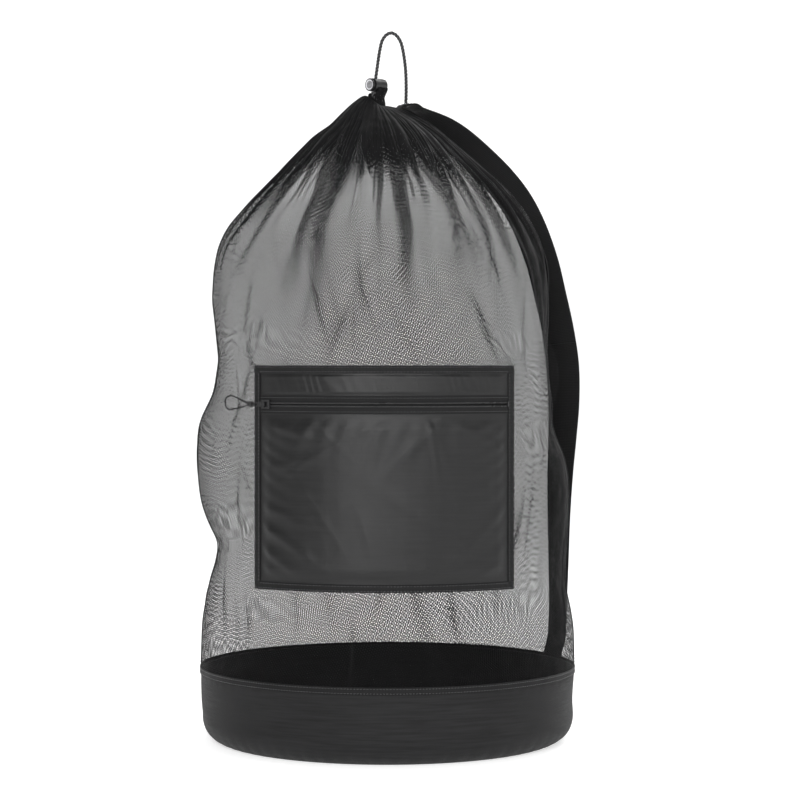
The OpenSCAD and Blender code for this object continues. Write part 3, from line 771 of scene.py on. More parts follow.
def sheer(angle, z, radius):
    """1 in the clear gaps between the neck's folds, and 0 in the folds."""
    clear = np.zeros(angle.shape)
    for at_tip, tip, lower, half in NECK_GAPS:
        drop = np.clip((tip * MM - z) / (tip * MM - 0.74), 0, 1)
        centre = np.radians(at_tip + (lower - at_tip) * drop)
        inside = np.radians(half) * drop - angle_from(angle, centre)
        clear = np.maximum(clear, ease(inside * radius, -0.4 * MM, 1.4 * MM))
    return clear


def gathers(angle, z, radius):
    """The folds that the drawn-up neck sends down the net: how far each stands out, and how dense it is."""
    out = np.zeros(angle.shape)
    dense = np.zeros(angle.shape)
    clear = sheer(angle, z, radius)
    turn = ease(z, 0.72, 0.83)
    for n, (at_neck, lower, half, end) in enumerate(NECK_FOLDS):
        centre = np.radians(lower + (at_neck - lower) * turn) + 0.02 * np.sin(z * 40 + 2.1 * n) * (1 - turn)
        off = ((angle - centre + math.pi) % TAU - math.pi) * radius
        end = end * MM
        width = half * MM * (0.8 + 0.2 * ease(z, end, 0.735)) * (1 + ease(z, 0.745, 0.81))
        fade = ease(z, end - 0.03, end + 0.13)
        crest = np.exp(-np.abs(off / width) ** (2.5 + 5.5 * ease(z, 0.68, 0.77))) * fade
        swells = ridge(TAU * off / (4.6 * MM) + n) if half > 5 else 1.0
        height = np.minimum(0.6 * width, 4.2 * MM)
        out = np.maximum(out, height * crest * (0.6 + 0.4 * swells))
        shade = crest * (0.62 + 0.38 * swells)
        dense = np.maximum(dense, shade * (1 - 0.85 * clear) if half > 4 else shade)
    rng = np.random.default_rng(4)
    for _ in range(80):
        centre, end = rng.uniform(0, TAU), rng.uniform(0.69, 0.80)
        width, lean = rng.uniform(0.9, 1.6) * MM, rng.normal(0, 0.25)
        off = ((angle - centre - lean * (HEM_Z - z) + math.pi) % TAU - math.pi) * radius
        line = np.exp(-(off / width) ** 4) * ease(z, end, end + 0.03)
        out = np.maximum(out, 1.2 * width * line)
        dense = np.maximum(dense, 0.9 * line)
    by_seam = np.minimum(angle_from(angle, 0), angle_from(angle, math.pi))
    dense = np.maximum(dense, 0.42 * (1 - ease(by_seam, 0, np.radians(24))))
    return out, dense, clear


def creases(angle, z, radius):
    """Short slack folds in the net between the balls."""
    rng = np.random.default_rng(9)
    out = np.zeros(angle.shape)
    for _ in range(90):
        start, middle = rng.uniform(0, TAU), rng.uniform(0.13, 0.70)
        long, width = rng.uniform(0.03, 0.10), rng.uniform(2.6, 5.0) * MM
        lean = rng.normal(0, 1.3)
        tall = rng.uniform(0.8, 2.4) * MM
        off = ((angle - start - lean * (z - middle) + math.pi) % TAU - math.pi) * radius
        out = np.maximum(out, tall * np.exp(-(off / width) ** 2 - ((z - middle) / long) ** 2 * 2))
    return out


def net_points():
    """The whole net as rows x steps points, how far along the cloth each row is, and how open its holes are."""
    z, along = net_levels()
    a = np.linspace(0, TAU, NET_STEPS, endpoint=False)
    angle, height = np.meshgrid(a, z)
    radius = net_radius(angle, height)
    spacious = np.maximum(BAG_R / radius - 1, 0)
    wander = soft_noise(3, NET_ROWS, NET_STEPS, 6)
    drift = soft_noise(5, NET_ROWS, NET_STEPS, 5)
    slack = ease(height, BAND_H, BAND_H + 0.03)
    turns = 41 * angle + 1.6 * wander + 1.1 * np.sin(9 * height + 3 * drift)
    strength = 0.25 + 0.6 * (0.5 + 0.5 * soft_noise(8, NET_ROWS, NET_STEPS, 9))
    size = TAU * radius / 41 / math.pi * np.sqrt(spacious) * (1 - 0.7 * ease(height, 0.70, 0.78))
    strength *= 0.45 + 0.55 * ease(height, 0.62, 0.74)
    depth = 2 * np.minimum(size, 7 * MM) * strength * (1 - np.sqrt(np.cos(turns / 2) ** 2 + 0.08) / 1.04)
    depth = np.minimum(depth, 0.25 * radius)
    folds, dense, clear = gathers(angle, height, radius)
    loose = creases(angle, height, radius)
    under = (angle_from(angle, POCKET_MID) < POCKET_HALF + 0.02) & (height > POCKET_Z - 0.01) \
        & (height < POCKET_TOP + 0.01)
    depth = (depth - np.minimum(folds, 0.3 * radius) - loose * (height < 0.8)) * slack
    depth = np.where(under, np.clip(depth, 0, 3 * MM), depth)
    centre = net_mid(height)
    points = np.stack([centre + radius * np.cos(angle), radius * np.sin(angle), height], axis=2)
    across = np.roll(points, -1, 1) - np.roll(points, 1, 1)
    up = np.gradient(points, axis=0)
    normal = np.cross(across, up)
    normal /= np.linalg.norm(normal, axis=2)[:, :, None]
    flat = ease(height, 0.800, 0.835)[:, :, None]
    outward = np.stack([np.cos(angle), np.sin(angle), 0 * angle], axis=2)
    normal = normal * (1 - flat) + outward * flat
    points = points - normal * depth[:, :, None]
    points[:, :, 2] = np.clip(points[:, :, 2], BAND_H - 2 * MM, HEM_Z - 0.5 * MM)
    lift = 14 * MM * ease(height, 0.812, 0.846) * ease(0.5 - 0.5 * np.cos(angle), 0.25, 0.95)
    under_tab = 1 - ease(angle_from(angle, STRAP_A), np.radians(20), np.radians(60))
    lift += 4.5 * MM * under_tab * ease(height, 0.79, 0.825) * (1 - ease(height, 0.836, 0.845))
    points[:, :, 2] += lift
    ragged = 0.016 * np.sin(7 * angle + 1) + 0.010 * np.sin(19 * angle) + 0.006 * np.sin(43 * angle + 2)
    crowded = np.clip(spacious * ease(height + ragged, 0.72, 0.81), 0, 4)
    crowded *= 1 - 0.9 * clear * ease(0.83 - height, 0, 0.03)
    open_share = 0.64 ** crowded * (1 + 0.08 * clear * ease(height, 0.66, 0.75))
    open_share *= (1 - 0.62 * dense) * (1 - 0.3 * np.clip(loose / (2 * MM), 0, 1))
    return points, along, open_share


NET_POINTS, NET_ALONG, NET_OPEN = net_points()


def net_panel(name, first, last):
    """The net between two directions, as one thin sheet."""
    columns = np.arange(first, last + 1)
    points = NET_POINTS[:, columns % NET_STEPS]
    u = np.tile(columns * TAU / NET_STEPS * BAG_R, (NET_ROWS, 1))
    v = np.tile(NET_ALONG[:, None], (1, len(columns)))
    panel = sheet_object(name, points, np.stack([u, v], axis=2))
    share = NET_OPEN[:, columns % NET_STEPS].ravel()
    add_map(panel, "gather", np.stack([share, share], axis=1))
    return panel


def net_surface(angle, z):
    """A point on the net."""
    k = (angle % TAU) / TAU * NET_STEPS
    heights = NET_POINTS[:, int(k) % NET_STEPS, 2]
    i = int(np.clip(np.searchsorted(heights, z), 1, NET_ROWS - 2))
    t = (z - heights[i - 1]) / max(heights[i] - heights[i - 1], 1e-6)
    f = k - int(k)
    k0, k1 = int(k) % NET_STEPS, (int(k) + 1) % NET_STEPS
    low = NET_POINTS[i - 1, k0] * (1 - f) + NET_POINTS[i - 1, k1] * f
    high = NET_POINTS[i, k0] * (1 - f) + NET_POINTS[i, k1] * f
    return low * (1 - t) + high * t


mesh_front = net_panel("net_front", NET_STEPS // 2, NET_STEPS)
dress(mesh_front, NET, "bag", "mesh", "mesh_front_panel")
mesh_back = net_panel("net_back", 0, NET_STEPS // 2)
dress(mesh_back, NET, "bag", "mesh", "mesh_back_panel")


# ---------------------------------------------------------------- side seams

def side_seam(name, angle, node):
    """A tape over the join of the net's two panels, with a row of stitches near each edge."""
    low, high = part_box(node)
    z = np.linspace(low[2] + 0.3 * MM, min(high[2], 0.80), 140)
    line = []
    for height in z:
        near = [net_surface(angle + s, height) for s in (-0.02, -0.01, 0, 0.01, 0.02)]
        out = np.array([math.cos(angle), 0, 0])
        best = max(near, key=lambda p: p @ out)
        line.append(np.array([best[0], 0.0, height]) + 0.6 * MM * out)
    line = np.array(line)
    for _ in range(3):
        line[1:-1] = (line[:-2] + 2 * line[1:-1] + line[2:]) / 4
    tape = sweep(name, line, rounded_section(9 * MM, 0.9 * MM), side=(0, 1, 0))
    dress(tape, TAPE, "bag", "tape", node)
    out = np.array([math.cos(angle), 0, 0])
    rows = [(line + out * 0.45 * MM + np.array([0, s * 2.6 * MM, 0]), np.tile(out, (len(line), 1)))
            for s in (-1, 1)]
    dress(stitches(name + "_stitches", rows), THREAD, "bag", "tape")


side_seam("side_seam_left_tape", math.pi, "side_seam_left")
side_seam("side_seam_right_tape", 0.0, "side_seam_right")


# ---------------------------------------------------------------- round strips

def edge_spaced(low, high, count, edge=0.8 * MM):
    """Places from low to high, closer together by both ends."""
    inner = np.linspace(low + edge, high - edge, count)
    bend = edge * (1 - np.cos(np.linspace(0, math.pi / 2, 4)[:-1]))
    return np.concatenate([low + bend, inner, (high - bend)[::-1]])


def patch(name, r_in, thick, angles, heights, swell=None, edge=0.8 * MM):
    """A curved piece of cloth on the bag. swell(angle, z) is how far its face stands out beyond thick."""
    a = edge_spaced(angles[0] * r_in, angles[1] * r_in, angles[2], edge) / r_in
    z = edge_spaced(heights[0], heights[1], heights[2], edge)
    angle, height = np.meshgrid(a, z)
    from_edge = np.minimum(np.minimum(angle - a[0], a[-1] - angle) * r_in,
                           np.minimum(height - z[0], z[-1] - height))
    round_off = np.sqrt(np.maximum(0, 1 - (1 - np.clip(from_edge / edge, 0, 1)) ** 2))
    front = r_in + thick * (0.25 + 0.75 * round_off)
    if swell is not None:
        front = front + swell(angle, height)
    rows, cols = angle.shape
    outer = np.stack([front * np.cos(angle), front * np.sin(angle), height], axis=2)
    inner = np.stack([r_in * np.cos(angle), r_in * np.sin(angle), height], axis=2)
    uv = np.stack([angle * r_in, height], axis=2).reshape(-1, 2)
    faces = grid_faces(rows, cols)
    total = rows * cols
    faces += [tuple(total + v for v in f[::-1]) for f in grid_faces(rows, cols)]
    rim = [k for k in range(cols)] + [i * cols + cols - 1 for i in range(1, rows)]
    rim += [(rows - 1) * cols + k for k in range(cols - 2, -1, -1)]
    rim += [i * cols for i in range(rows - 2, 0, -1)]
    for n, v in enumerate(rim):
        w = rim[(n + 1) % len(rim)]
        faces.append((v, total + v, total + w, w))
    verts = np.vstack([outer.reshape(-1, 3), inner.reshape(-1, 3)])
    return make_object(name, verts, faces, np.vstack([uv, uv]))


def ring_sweep(name, radius, z, width, thick, ripple=0.0, upright=True):
    """A tape round the bag. upright lays its width along the height."""
    a = np.linspace(0, TAU, 361)[:-1]
    wave = ripple * (np.sin(23 * a + 1) * 0.5 + np.sin(57 * a) * 0.5)
    points = np.stack([(radius + wave) * np.cos(a), (radius + wave) * np.sin(a), z + 0 * a], axis=1)
    section = rounded_section(width, thick)
    out = np.stack([np.cos(a), np.sin(a), 0 * a], axis=1)
    up = np.tile((0.0, 0.0, 1.0), (len(a), 1))
    sides, ups = (up, out) if upright else (out, up)
    section = np.array(section)
    n = len(section)
    verts = points[:, None] + section[None, :, :1] * sides[:, None] + section[None, :, 1:] * ups[:, None]
    faces = grid_faces(len(a), n, closed_cols=True, closed_rows=True)
    uvs = []
    edge = np.concatenate([[0], np.cumsum(np.linalg.norm(np.diff(np.vstack([section, section[:1]]), axis=0), axis=1))])
    for i in range(len(a)):
        for k in range(n):
            v0, v1 = a[i] * radius, (a[i] + TAU / 360) * radius
            uvs += [(edge[k], v0), (edge[k + 1], v0), (edge[k + 1], v1), (edge[k], v1)]
    return make_object(name, verts.reshape(-1, 3), faces, uvs)


def ring_line(radius, z, steps=720):
    a = np.linspace(0, TAU, steps)
    points = np.stack([radius * np.cos(a), radius * np.sin(a), z + 0 * a], axis=1)
    return points, np.stack([np.cos(a), np.sin(a), 0 * a], axis=1)


def arc_line(radius, z, a0, a1, steps=300):
    a = np.linspace(a0, a1, steps)
    points = np.stack([radius * np.cos(a), radius * np.sin(a), z + 0 * a], axis=1)
    return points, np.stack([np.cos(a), np.sin(a), 0 * a], axis=1)


def upright_line(radius, angle, z0, z1):
    z = np.linspace(z0, z1, 60)
    out = np.array([math.cos(angle), math.sin(angle), 0])
    return np.array([radius * out + (0, 0, h) for h in z]), np.tile(out, (len(z), 1))


# ---------------------------------------------------------------- base

def make_base():
    """The cloth band that folds in under the bag, the round panel under it, and the two tapes on their seams."""
    steps = 480
    a = np.linspace(0, TAU, steps, endpoint=False)
    bend = np.linspace(-math.pi / 2, 0, 22)
    outline = [(BASE_R + FOLD_R * math.cos(t), FOLD_R + FOLD_R * math.sin(t)) for t in bend]
    outline += [(BAG_R, z) for z in np.linspace(FOLD_R, BAND_H, 30)[1:]]
    outline = np.array(outline)
    run = np.concatenate([[0], np.cumsum(np.linalg.norm(np.diff(outline, axis=0), axis=1))])
    inner = outline.copy()
    cloth = 2 * MM
    normal = np.gradient(outline, axis=0)
    normal /= np.linalg.norm(normal, axis=1)[:, None]
    inner = outline + cloth * np.stack([-normal[:, 1], normal[:, 0]], axis=1)
    rows = len(outline)
    rng = soft_noise(21, rows, steps, 14)
    low = soft_noise(22, rows, steps, 5)
    pucker = ease(0.055 - run, 0, 0.05)[:, None] * (np.abs(np.sin(31 * a + 1.5 * np.sin(3 * a)))[None, :] - 1)
    seam_pull = ease(run, run[-1] - 0.018, run[-1] - 0.004)[:, None] * (np.sin(70 * a + np.sin(7 * a)) * 0.5 - 0.5)[None, :]
    free = np.sin(math.pi * np.clip((run - 0.01) / (run[-1] - 0.02), 0, 1))[:, None]
    shift = free * (0.9 * MM * rng + 1.3 * MM * low - 1.2 * MM) + 1.1 * MM * pucker * ease(run, 0.004, 0.02)[:, None]
    shift += 0.35 * MM * seam_pull
    out_n = np.stack([normal[:, 1], -normal[:, 0]], axis=1)
    radius = outline[:, :1] + shift * out_n[:, :1]
    height = outline[:, 1:] + shift * out_n[:, 1:]
    height = np.maximum(height, 0.0)
    outer = np.stack([radius * np.cos(a), radius * np.sin(a), height + 0 * a], axis=2)
    inner_r = inner[:, :1] + np.minimum(shift, 0) * out_n[:, :1]
    inner_z = inner[:, 1:] + np.minimum(shift, 0) * out_n[:, 1:] + 0 * a
    inside = np.stack([inner_r * np.cos(a), inner_r * np.sin(a), inner_z], axis=2)
    shell = np.vstack([outer, inside[::-1]])
    uv_rows = np.concatenate([run, run[::-1]])
    faces = grid_faces(2 * rows, steps, closed_cols=True, closed_rows=True)
    uvs = []
    closed = np.append(a, TAU)
    for i in range(2 * rows):
        j = (i + 1) % (2 * rows)
        for k in range(steps):
            u0, u1 = closed[k] * BAG_R, closed[k + 1] * BAG_R
            uvs += [(u0, uv_rows[i]), (u1, uv_rows[i]), (u1, uv_rows[j]), (u0, uv_rows[j])]
    band = make_object("band_cloth_wall", shell.reshape(-1, 3), faces, uvs)
    dress(band, BAND_CLOTH, "bag", "band_cloth", "base_band")

    rings = [0.0] + list(np.linspace(0.012, PIPING_R - 0.4 * MM, 30))
    top = 2.4 * MM
    verts = [(0, 0, 0), (0, 0, top)]
    uvs_flat = [(0, 0), (0, 0)]
    around = 180
    for r in rings[1:]:
        for k in range(around):
            t = TAU * k / around
            x, y = r * math.cos(t), r * math.sin(t)
            lift = 0.5 * MM * (noise.noise(Vector((x * 14, y * 14, 2))) + 0.6) * min(1, (PIPING_R - r) / 0.01)
            verts += [(x, y, max(0.0, lift * 0.5)), (x, y, top - 0.2 * MM + lift)]
            uvs_flat += [(x, y), (x, y)]
    faces = []
    for k in range(around):
        n = (k + 1) % around
        faces += [(0, 2 + 2 * n, 2 + 2 * k), (1, 3 + 2 * k, 3 + 2 * n)]
    for i in range(len(rings) - 2):
        s, t = 2 + 2 * i * around, 2 + 2 * (i + 1) * around
        for k in range(around):
            n = (k + 1) % around
            faces += [(s + 2 * k, s + 2 * n, t + 2 * n, t + 2 * k),
                      (s + 1 + 2 * k, t + 1 + 2 * k, t + 1 + 2 * n, s + 1 + 2 * n)]
    s = 2 + 2 * (len(rings) - 2) * around
    for k in range(around):
        n = (k + 1) % around
        faces.append((s + 2 * k, s + 2 * n, s + 1 + 2 * n, s + 1 + 2 * k))
    panel = make_object("base_panel_cloth", verts, faces, uvs_flat)
    dress(panel, BAND_CLOTH, "bag", "band_cloth", "base_panel")

    piping = ring_sweep("base_piping_tape", (PIPING_R + BASE_R) / 2, 1.3 * MM,
                        BASE_R - PIPING_R - 0.2 * MM, 2.4 * MM, upright=False)
    dress(piping, TAPE, "bag", "tape", "base_binding")
    low_z, high_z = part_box("band_binding")[0][2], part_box("band_binding")[1][2]
    outer_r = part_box("band_binding")[1][0]
    tape = ring_sweep("band_top_tape", outer_r - 0.6 * MM, (low_z + high_z) / 2, high_z - low_z,
                      1.15 * MM, 0.12 * MM)
    dress(tape, TAPE, "bag", "tape", "band_binding")
    rows_of = [ring_line(outer_r, low_z + 2.2 * MM), ring_line(outer_r, high_z - 2.2 * MM)]
    dress(stitches("band_top_stitches", rows_of), THREAD, "bag", "tape")


make_base()


# ---------------------------------------------------------------- pocket

def make_pocket():
    a0, a1 = POCKET_MID - POCKET_HALF, POCKET_MID + POCKET_HALF
    zip_z = joints["zip_slide"]["pos_m"][2]
    backing = patch("pocket_backing_cloth", BACKING_R, 1.35 * MM, (a0, a1, 90), (POCKET_Z, POCKET_TOP, 40))
    dress(backing, LINING_CLOTH, "bag", "pocket_cloth", "pocket_backing")

    rng = np.random.default_rng(12)
    edge_u = POCKET_HALF * PANEL_R - BINDING_W
    creases = [(-edge_u + 0.02, 0.262, -0.55, 0.075, 0.0065, 1.5), (-edge_u + 0.02, 0.292, -0.50, 0.085, 0.006, 1.6),
               (-edge_u + 0.025, 0.318, -0.35, 0.08, 0.007, 1.1), (-edge_u + 0.03, 0.372, 0.30, 0.07, 0.007, 1.0),
               (-edge_u + 0.04, 0.420, -0.25, 0.06, 0.006, 1.2), (edge_u - 0.02, 0.250, 0.55, 0.075, 0.0065, 1.5),
               (edge_u - 0.03, 0.300, 0.70, 0.09, 0.007, 1.2), (edge_u - 0.02, 0.400, -0.5, 0.07, 0.0065, 1.2)]
    for _ in range(22):
        creases.append((rng.uniform(-0.17, 0.17), rng.uniform(0.235, 0.435),
                        rng.choice([-1, 1]) * rng.uniform(0.5, 1.45), rng.uniform(0.03, 0.10),
                        rng.uniform(0.004, 0.010), rng.uniform(0.3, 0.9)))

    def swell(angle, z):
        """Soft folds that run in from the seams, and slanting ones across the strip over the zip."""
        u = (angle - POCKET_MID) * PANEL_R
        in_u = ease(POCKET_HALF * PANEL_R - np.abs(u), 0.009, 0.030)
        low = ease(z, POCKET_Z + 0.009, POCKET_Z + 0.030) * ease(0.4385 - z, 0.0, 0.020)
        high = ease(z, 0.4635, 0.467) * ease(POCKET_TOP - 0.0105 - z, 0, 0.004)
        rise = 3.2 * MM * np.ones_like(u)
        for u0, z0, lean, length, width, height in creases:
            du, dz = u - u0, z - z0
            along = du * math.cos(lean) + dz * math.sin(lean)
            off = -du * math.sin(lean) + dz * math.cos(lean) + 0.06 * along ** 2 / length
            rise = rise + height * MM * np.exp(-(along / length) ** 2 * 2 - (off / width) ** 2)
        streak = sum(np.sin(k * u * 60 + k) / k for k in (1, 2, 3, 5)) * 0.2 * MM
        from_side = POCKET_HALF * PANEL_R - BINDING_W - np.abs(u)
        down = z + 0.45 * from_side
        side_pull = (np.sin(TAU * down / 0.021 + 2 * np.sin(31 * down)) - 0.4) * np.exp(-from_side / 0.022)
        drop = 0.4395 - z
        across = u + 0.35 * drop
        zip_pull = (np.sin(TAU * across / 0.026 + 2 * np.sin(23 * across)) - 0.3) * np.exp(-drop / 0.022)
        pull = 0.75 * MM * (side_pull + zip_pull)
        slant = TAU * (u + 0.45 * z + 0.006 * np.sin(u * 61) + 0.003 * np.sin(u * 143)) / 0.0135
        patchy = 0.55 + 0.25 * np.sin(u * 29 + 4) + 0.2 * np.sin(u * 67 + 1)
        strip = (1.1 + 0.28 * np.sin(slant) * patchy + 0.6 * np.sin(u * 83 + z * 40) * patchy) * MM
        return in_u * (low * np.clip(rise - 0.8 * MM + streak + pull, 0, 6.4 * MM) + high * strip)

    panels = {"pocket_upper_cloth": ("pocket_upper_panel", 90, 46), "pocket_lower_cloth": ("pocket_lower_panel", 300, 190)}
    for name, (node, cols, rows) in panels.items():
        low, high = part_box(node)
        piece = patch(name, PANEL_R, 1.5 * MM, (a0, a1, max(cols, 260)), (low[2], high[2], rows), swell)
        dress(piece, POCKET_CLOTH, "bag", "pocket_cloth", node)

    half = BINDING_W / PANEL_R

    def fold(angle, z):
        u = angle * PANEL_R
        return 0.22 * MM * np.abs(np.sin((u + 0.55 * z) / (2.7 * MM))) + 0.10 * MM * np.sin(u / (5.5 * MM))

    tapes = {
        "binding_top": ((a0, a1, 240), (POCKET_TOP - BINDING_W, POCKET_TOP, 10)),
        "binding_bottom": ((a0, a1, 240), (POCKET_Z, POCKET_Z + BINDING_W, 10)),
        "binding_left": ((a0, a0 + half, 10), (POCKET_Z + BINDING_W, POCKET_TOP - BINDING_W, 160)),
        "binding_right": ((a1 - half, a1, 10), (POCKET_Z + BINDING_W, POCKET_TOP - BINDING_W, 160)),
    }
    for node, (angles, heights) in tapes.items():
        piece = patch(node + "_tape", TAPE_R, 1.1 * MM, angles, heights, fold, edge=1.1 * MM)
        dress(piece, TAPE, "bag", "tape", node)
    face = TAPE_R + 1.12 * MM
    inset = 2 * MM
    step = inset / PANEL_R
    rows_of = [
        arc_line(face, POCKET_TOP - BINDING_W + inset, a0 + half, a1 - half),
        arc_line(face, POCKET_Z + BINDING_W - inset, a0 + half, a1 - half),
        arc_line(face, POCKET_TOP - inset, a0 + step, a1 - step),
        arc_line(face, POCKET_Z + inset, a0 + step, a1 - step),
        upright_line(face, a0 + half - step, POCKET_Z + BINDING_W, POCKET_TOP - BINDING_W),
        upright_line(face, a1 - half + step, POCKET_Z + BINDING_W, POCKET_TOP - BINDING_W),
        upright_line(face, a0 + step, POCKET_Z + inset, POCKET_TOP - inset),
        upright_line(face, a1 - step, POCKET_Z + inset, POCKET_TOP - inset),
    ]
    dress(stitches("pocket_binding_stitches", rows_of), THREAD, "bag", "tape")

    for node in ("zip_tape_upper", "zip_tape_lower"):
        low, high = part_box(node)
        piece = patch(node + "_cloth", TAPE_R, 0.7 * MM, (a0 + half + 0.002, a1 - half - 0.002, 240),
                      (low[2], high[2], 12), edge=0.4 * MM)
        dress(piece, ZIP_TAPE, "bag", "tape", node)
    zip_rows = [arc_line(TAPE_R + 0.72 * MM, zip_z + s * 8.6 * MM, a0 + half, a1 - half) for s in (-1, 1)]
    dress(stitches("zip_tape_stitches", zip_rows, radius=0.28 * MM), THREAD, "bag", "tape")


make_pocket()


def make_coil(node, mirror):
    """One side of the zip: a long spiral of stiff thread."""
    low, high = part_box(node)
    pitch = 3.2 * MM
    wire = 0.55 * MM
    coil_h = high[2] - low[2]
    mid_z = (low[2] + high[2]) / 2
    half_a = POCKET_HALF - BINDING_W / PANEL_R - math.radians(0.6)
    length = 2 * half_a * COIL_R
    turns = length / pitch
    steps = int(turns * 18)
    t = np.linspace(0, turns, steps)
    angle = POCKET_MID - half_a + t * pitch / COIL_R
    round_r = 0.86 * MM - wire
    round_z = coil_h / 2 - wire - 0.05 * MM
    turn = TAU * t + (math.pi if mirror else 0)
    r = COIL_R + 0.9 * MM + round_r * np.sin(turn)
    z = mid_z + (-1 if mirror else 1) * round_z * np.cos(turn)
    points = np.stack([r * np.cos(angle), r * np.sin(angle), z], axis=1)
    coil = sweep(node + "_spiral", points, circle_section(wire, 6), side=(0, 0, 1))
    dress(coil, COIL_PLASTIC, "bag", "coil_plastic", node)


make_coil("zip_coil_upper", False)
make_coil("zip_coil_lower", True)


# ---------------------------------------------------------------- hem

def make_hem():
    """The gathered sleeve at the mouth that the drawcord runs in."""
    steps = 528
    a = np.linspace(0, TAU, steps, endpoint=False)
    top = HEM_TOP - HEM_Z
    outline = np.array([
        (5.6, 3), (5.4, 8), (5.5, 13), (6.0, 16.2), (7.0, 17.2), (8.3, 17.4), (9.6, 17.0), (10.4, 16.2),
        (10.8, 14.8), (11.0, 12), (11.4, 9), (12.1, 5.5), (12.4, 2.5), (12.2, 0.6), (11.2, 0.1), (9.5, 0.2),
        (7.5, 1.0)]) * MM
    outline = smooth_curve([(r, 0, h) for r, h in np.vstack([outline, outline[:1]])], 3)[:, [0, 2]][:-1]
    rows = len(outline)
    wander = soft_noise(31, rows, steps, 5)
    turns = 44 * a[None, :] + 0.9 * wander
    deep = np.interp(outline[:, 0], (5.3 * MM, 8 * MM, 12 * MM), (0.25 * MM, 0.9 * MM, 1.5 * MM))[:, None]
    centre = np.array([8.8 * MM, top / 2])
    toward = centre - outline
    toward /= np.linalg.norm(toward, axis=1)[:, None]
    fold = deep * (1 - ridge(turns)) * 0.8
    frill = 8.0 * MM * ease(np.cos(a - math.radians(322)), 0.5, 0.88) * (0.92 + 0.08 * np.sin(14 * a))
    lip = ease(outline[:, :1], 8.6 * MM, 10.4 * MM) * ease(outline[:, 1:], 11 * MM, 15 * MM)
    radius = outline[:, :1] + toward[:, :1] * fold + 0.7 * frill * lip
    height = HEM_Z + outline[:, 1:] + toward[:, 1:] * fold + frill * lip
    points = np.stack([NECK_X + radius * np.cos(a), radius * np.sin(a), height + 0 * a], axis=2)
    faces = grid_faces(rows, steps, closed_cols=True, closed_rows=True)
    run = np.concatenate([[0], np.cumsum(np.linalg.norm(np.diff(np.vstack([outline, outline[:1]]), axis=0), axis=1))])
    uvs = []
    for i in range(rows):
        for k in range(steps):
            u0, u1 = k * TAU / steps * BAG_R * 0.35, (k + 1) * TAU / steps * BAG_R * 0.35
            uvs += [(u0, run[i]), (u1, run[i]), (u1, run[i + 1]), (u0, run[i + 1])]
    hem = make_object("hem_gathers", points.reshape(-1, 3), faces, uvs)
    add_map(hem, "gather", np.full((len(hem.data.vertices), 2), 0.35))
    dress(hem, NET, "bag", "mesh", "hem_casing")


make_hem()


# ---------------------------------------------------------------- strap

STRAP_OUT = np.array([math.cos(STRAP_A), math.sin(STRAP_A), 0])
STRAP_SIDE = np.array([-math.sin(STRAP_A), math.cos(STRAP_A), 0])
# Distance from the axis and height in millimetres, and the webbing's turn about its own line in degrees.
STRAP_ROUTE = [
    (42.5, 842.2, 0), (46, 841.2, 0), (50, 840, 0), (63, 831.5, -12), (83, 819, -26), (106, 803.5, -34), (135, 781, -38), (166, 754, -40),
    (193, 724, -40), (215, 688, -38), (234, 643, -36), (248, 594, -34), (260, 548, -32), (268.5, 500, -30),
    (270, 450, -27), (267, 400, -22), (263.5, 350, -16), (261.5, 290, -9), (260.5, 220, -4), (259.5, 165, 0),
    (257.5, 125, 0), (257, 121.5, 0)]


def strap_point(radius, z):
    return STRAP_OUT * radius * MM + np.array([0, 0, z * MM])


def strap_section(width, thick, ribs=11):
    """Webbing's section: firm round edges and shallow ribs along it."""
    top, bottom = [], []
    count = 44
    for k in range(count + 1):
        x = width * (0.5 - k / count) * 0.985
        rib = 0.07 * MM * math.cos(TAU * ribs * k / count)
        edge = math.sqrt(max(0, 1 - (2 * abs(x) / width) ** 24))
        top.append((x, (thick / 2 - 0.07 * MM) * max(edge, 0.35) + rib))
        bottom.append((-x, -(thick / 2 - 0.07 * MM) * max(edge, 0.35) - rib))
    return top + bottom


def ribbon(name, middle, across, up, section, bend):
    """Webbing along a line, turning with across and up. bend(x, i) lifts it off its plane at x across."""
    n = len(section)
    x = np.array([p[0] for p in section])
    y = np.array([p[1] for p in section])
    verts = np.array([m + np.outer(x, s) + np.outer(y + bend(x, i), u)
                      for i, (m, s, u) in enumerate(zip(middle, across, up))])
    faces = grid_faces(len(middle), n, closed_cols=True)
    along = np.concatenate([[0], np.cumsum(np.linalg.norm(np.diff(middle, axis=0), axis=1))])
    around = np.concatenate([[0], np.cumsum(np.hypot(np.diff(np.append(x, x[0])), np.diff(np.append(y, y[0]))))])
    uvs = []
    for i in range(len(middle) - 1):
        for k in range(n):
            uvs += [(around[k], along[i]), (around[k + 1], along[i]),
                    (around[k + 1], along[i + 1]), (around[k], along[i + 1])]
    last = (len(middle) - 1) * n
    faces.append(tuple(range(n - 1, -1, -1)))
    faces.append(tuple(last + k for k in range(n)))
    uvs += [tuple(p) for p in section[::-1]] + [tuple(p) for p in section]
    return make_object(name, verts.reshape(-1, 3), faces, uvs)


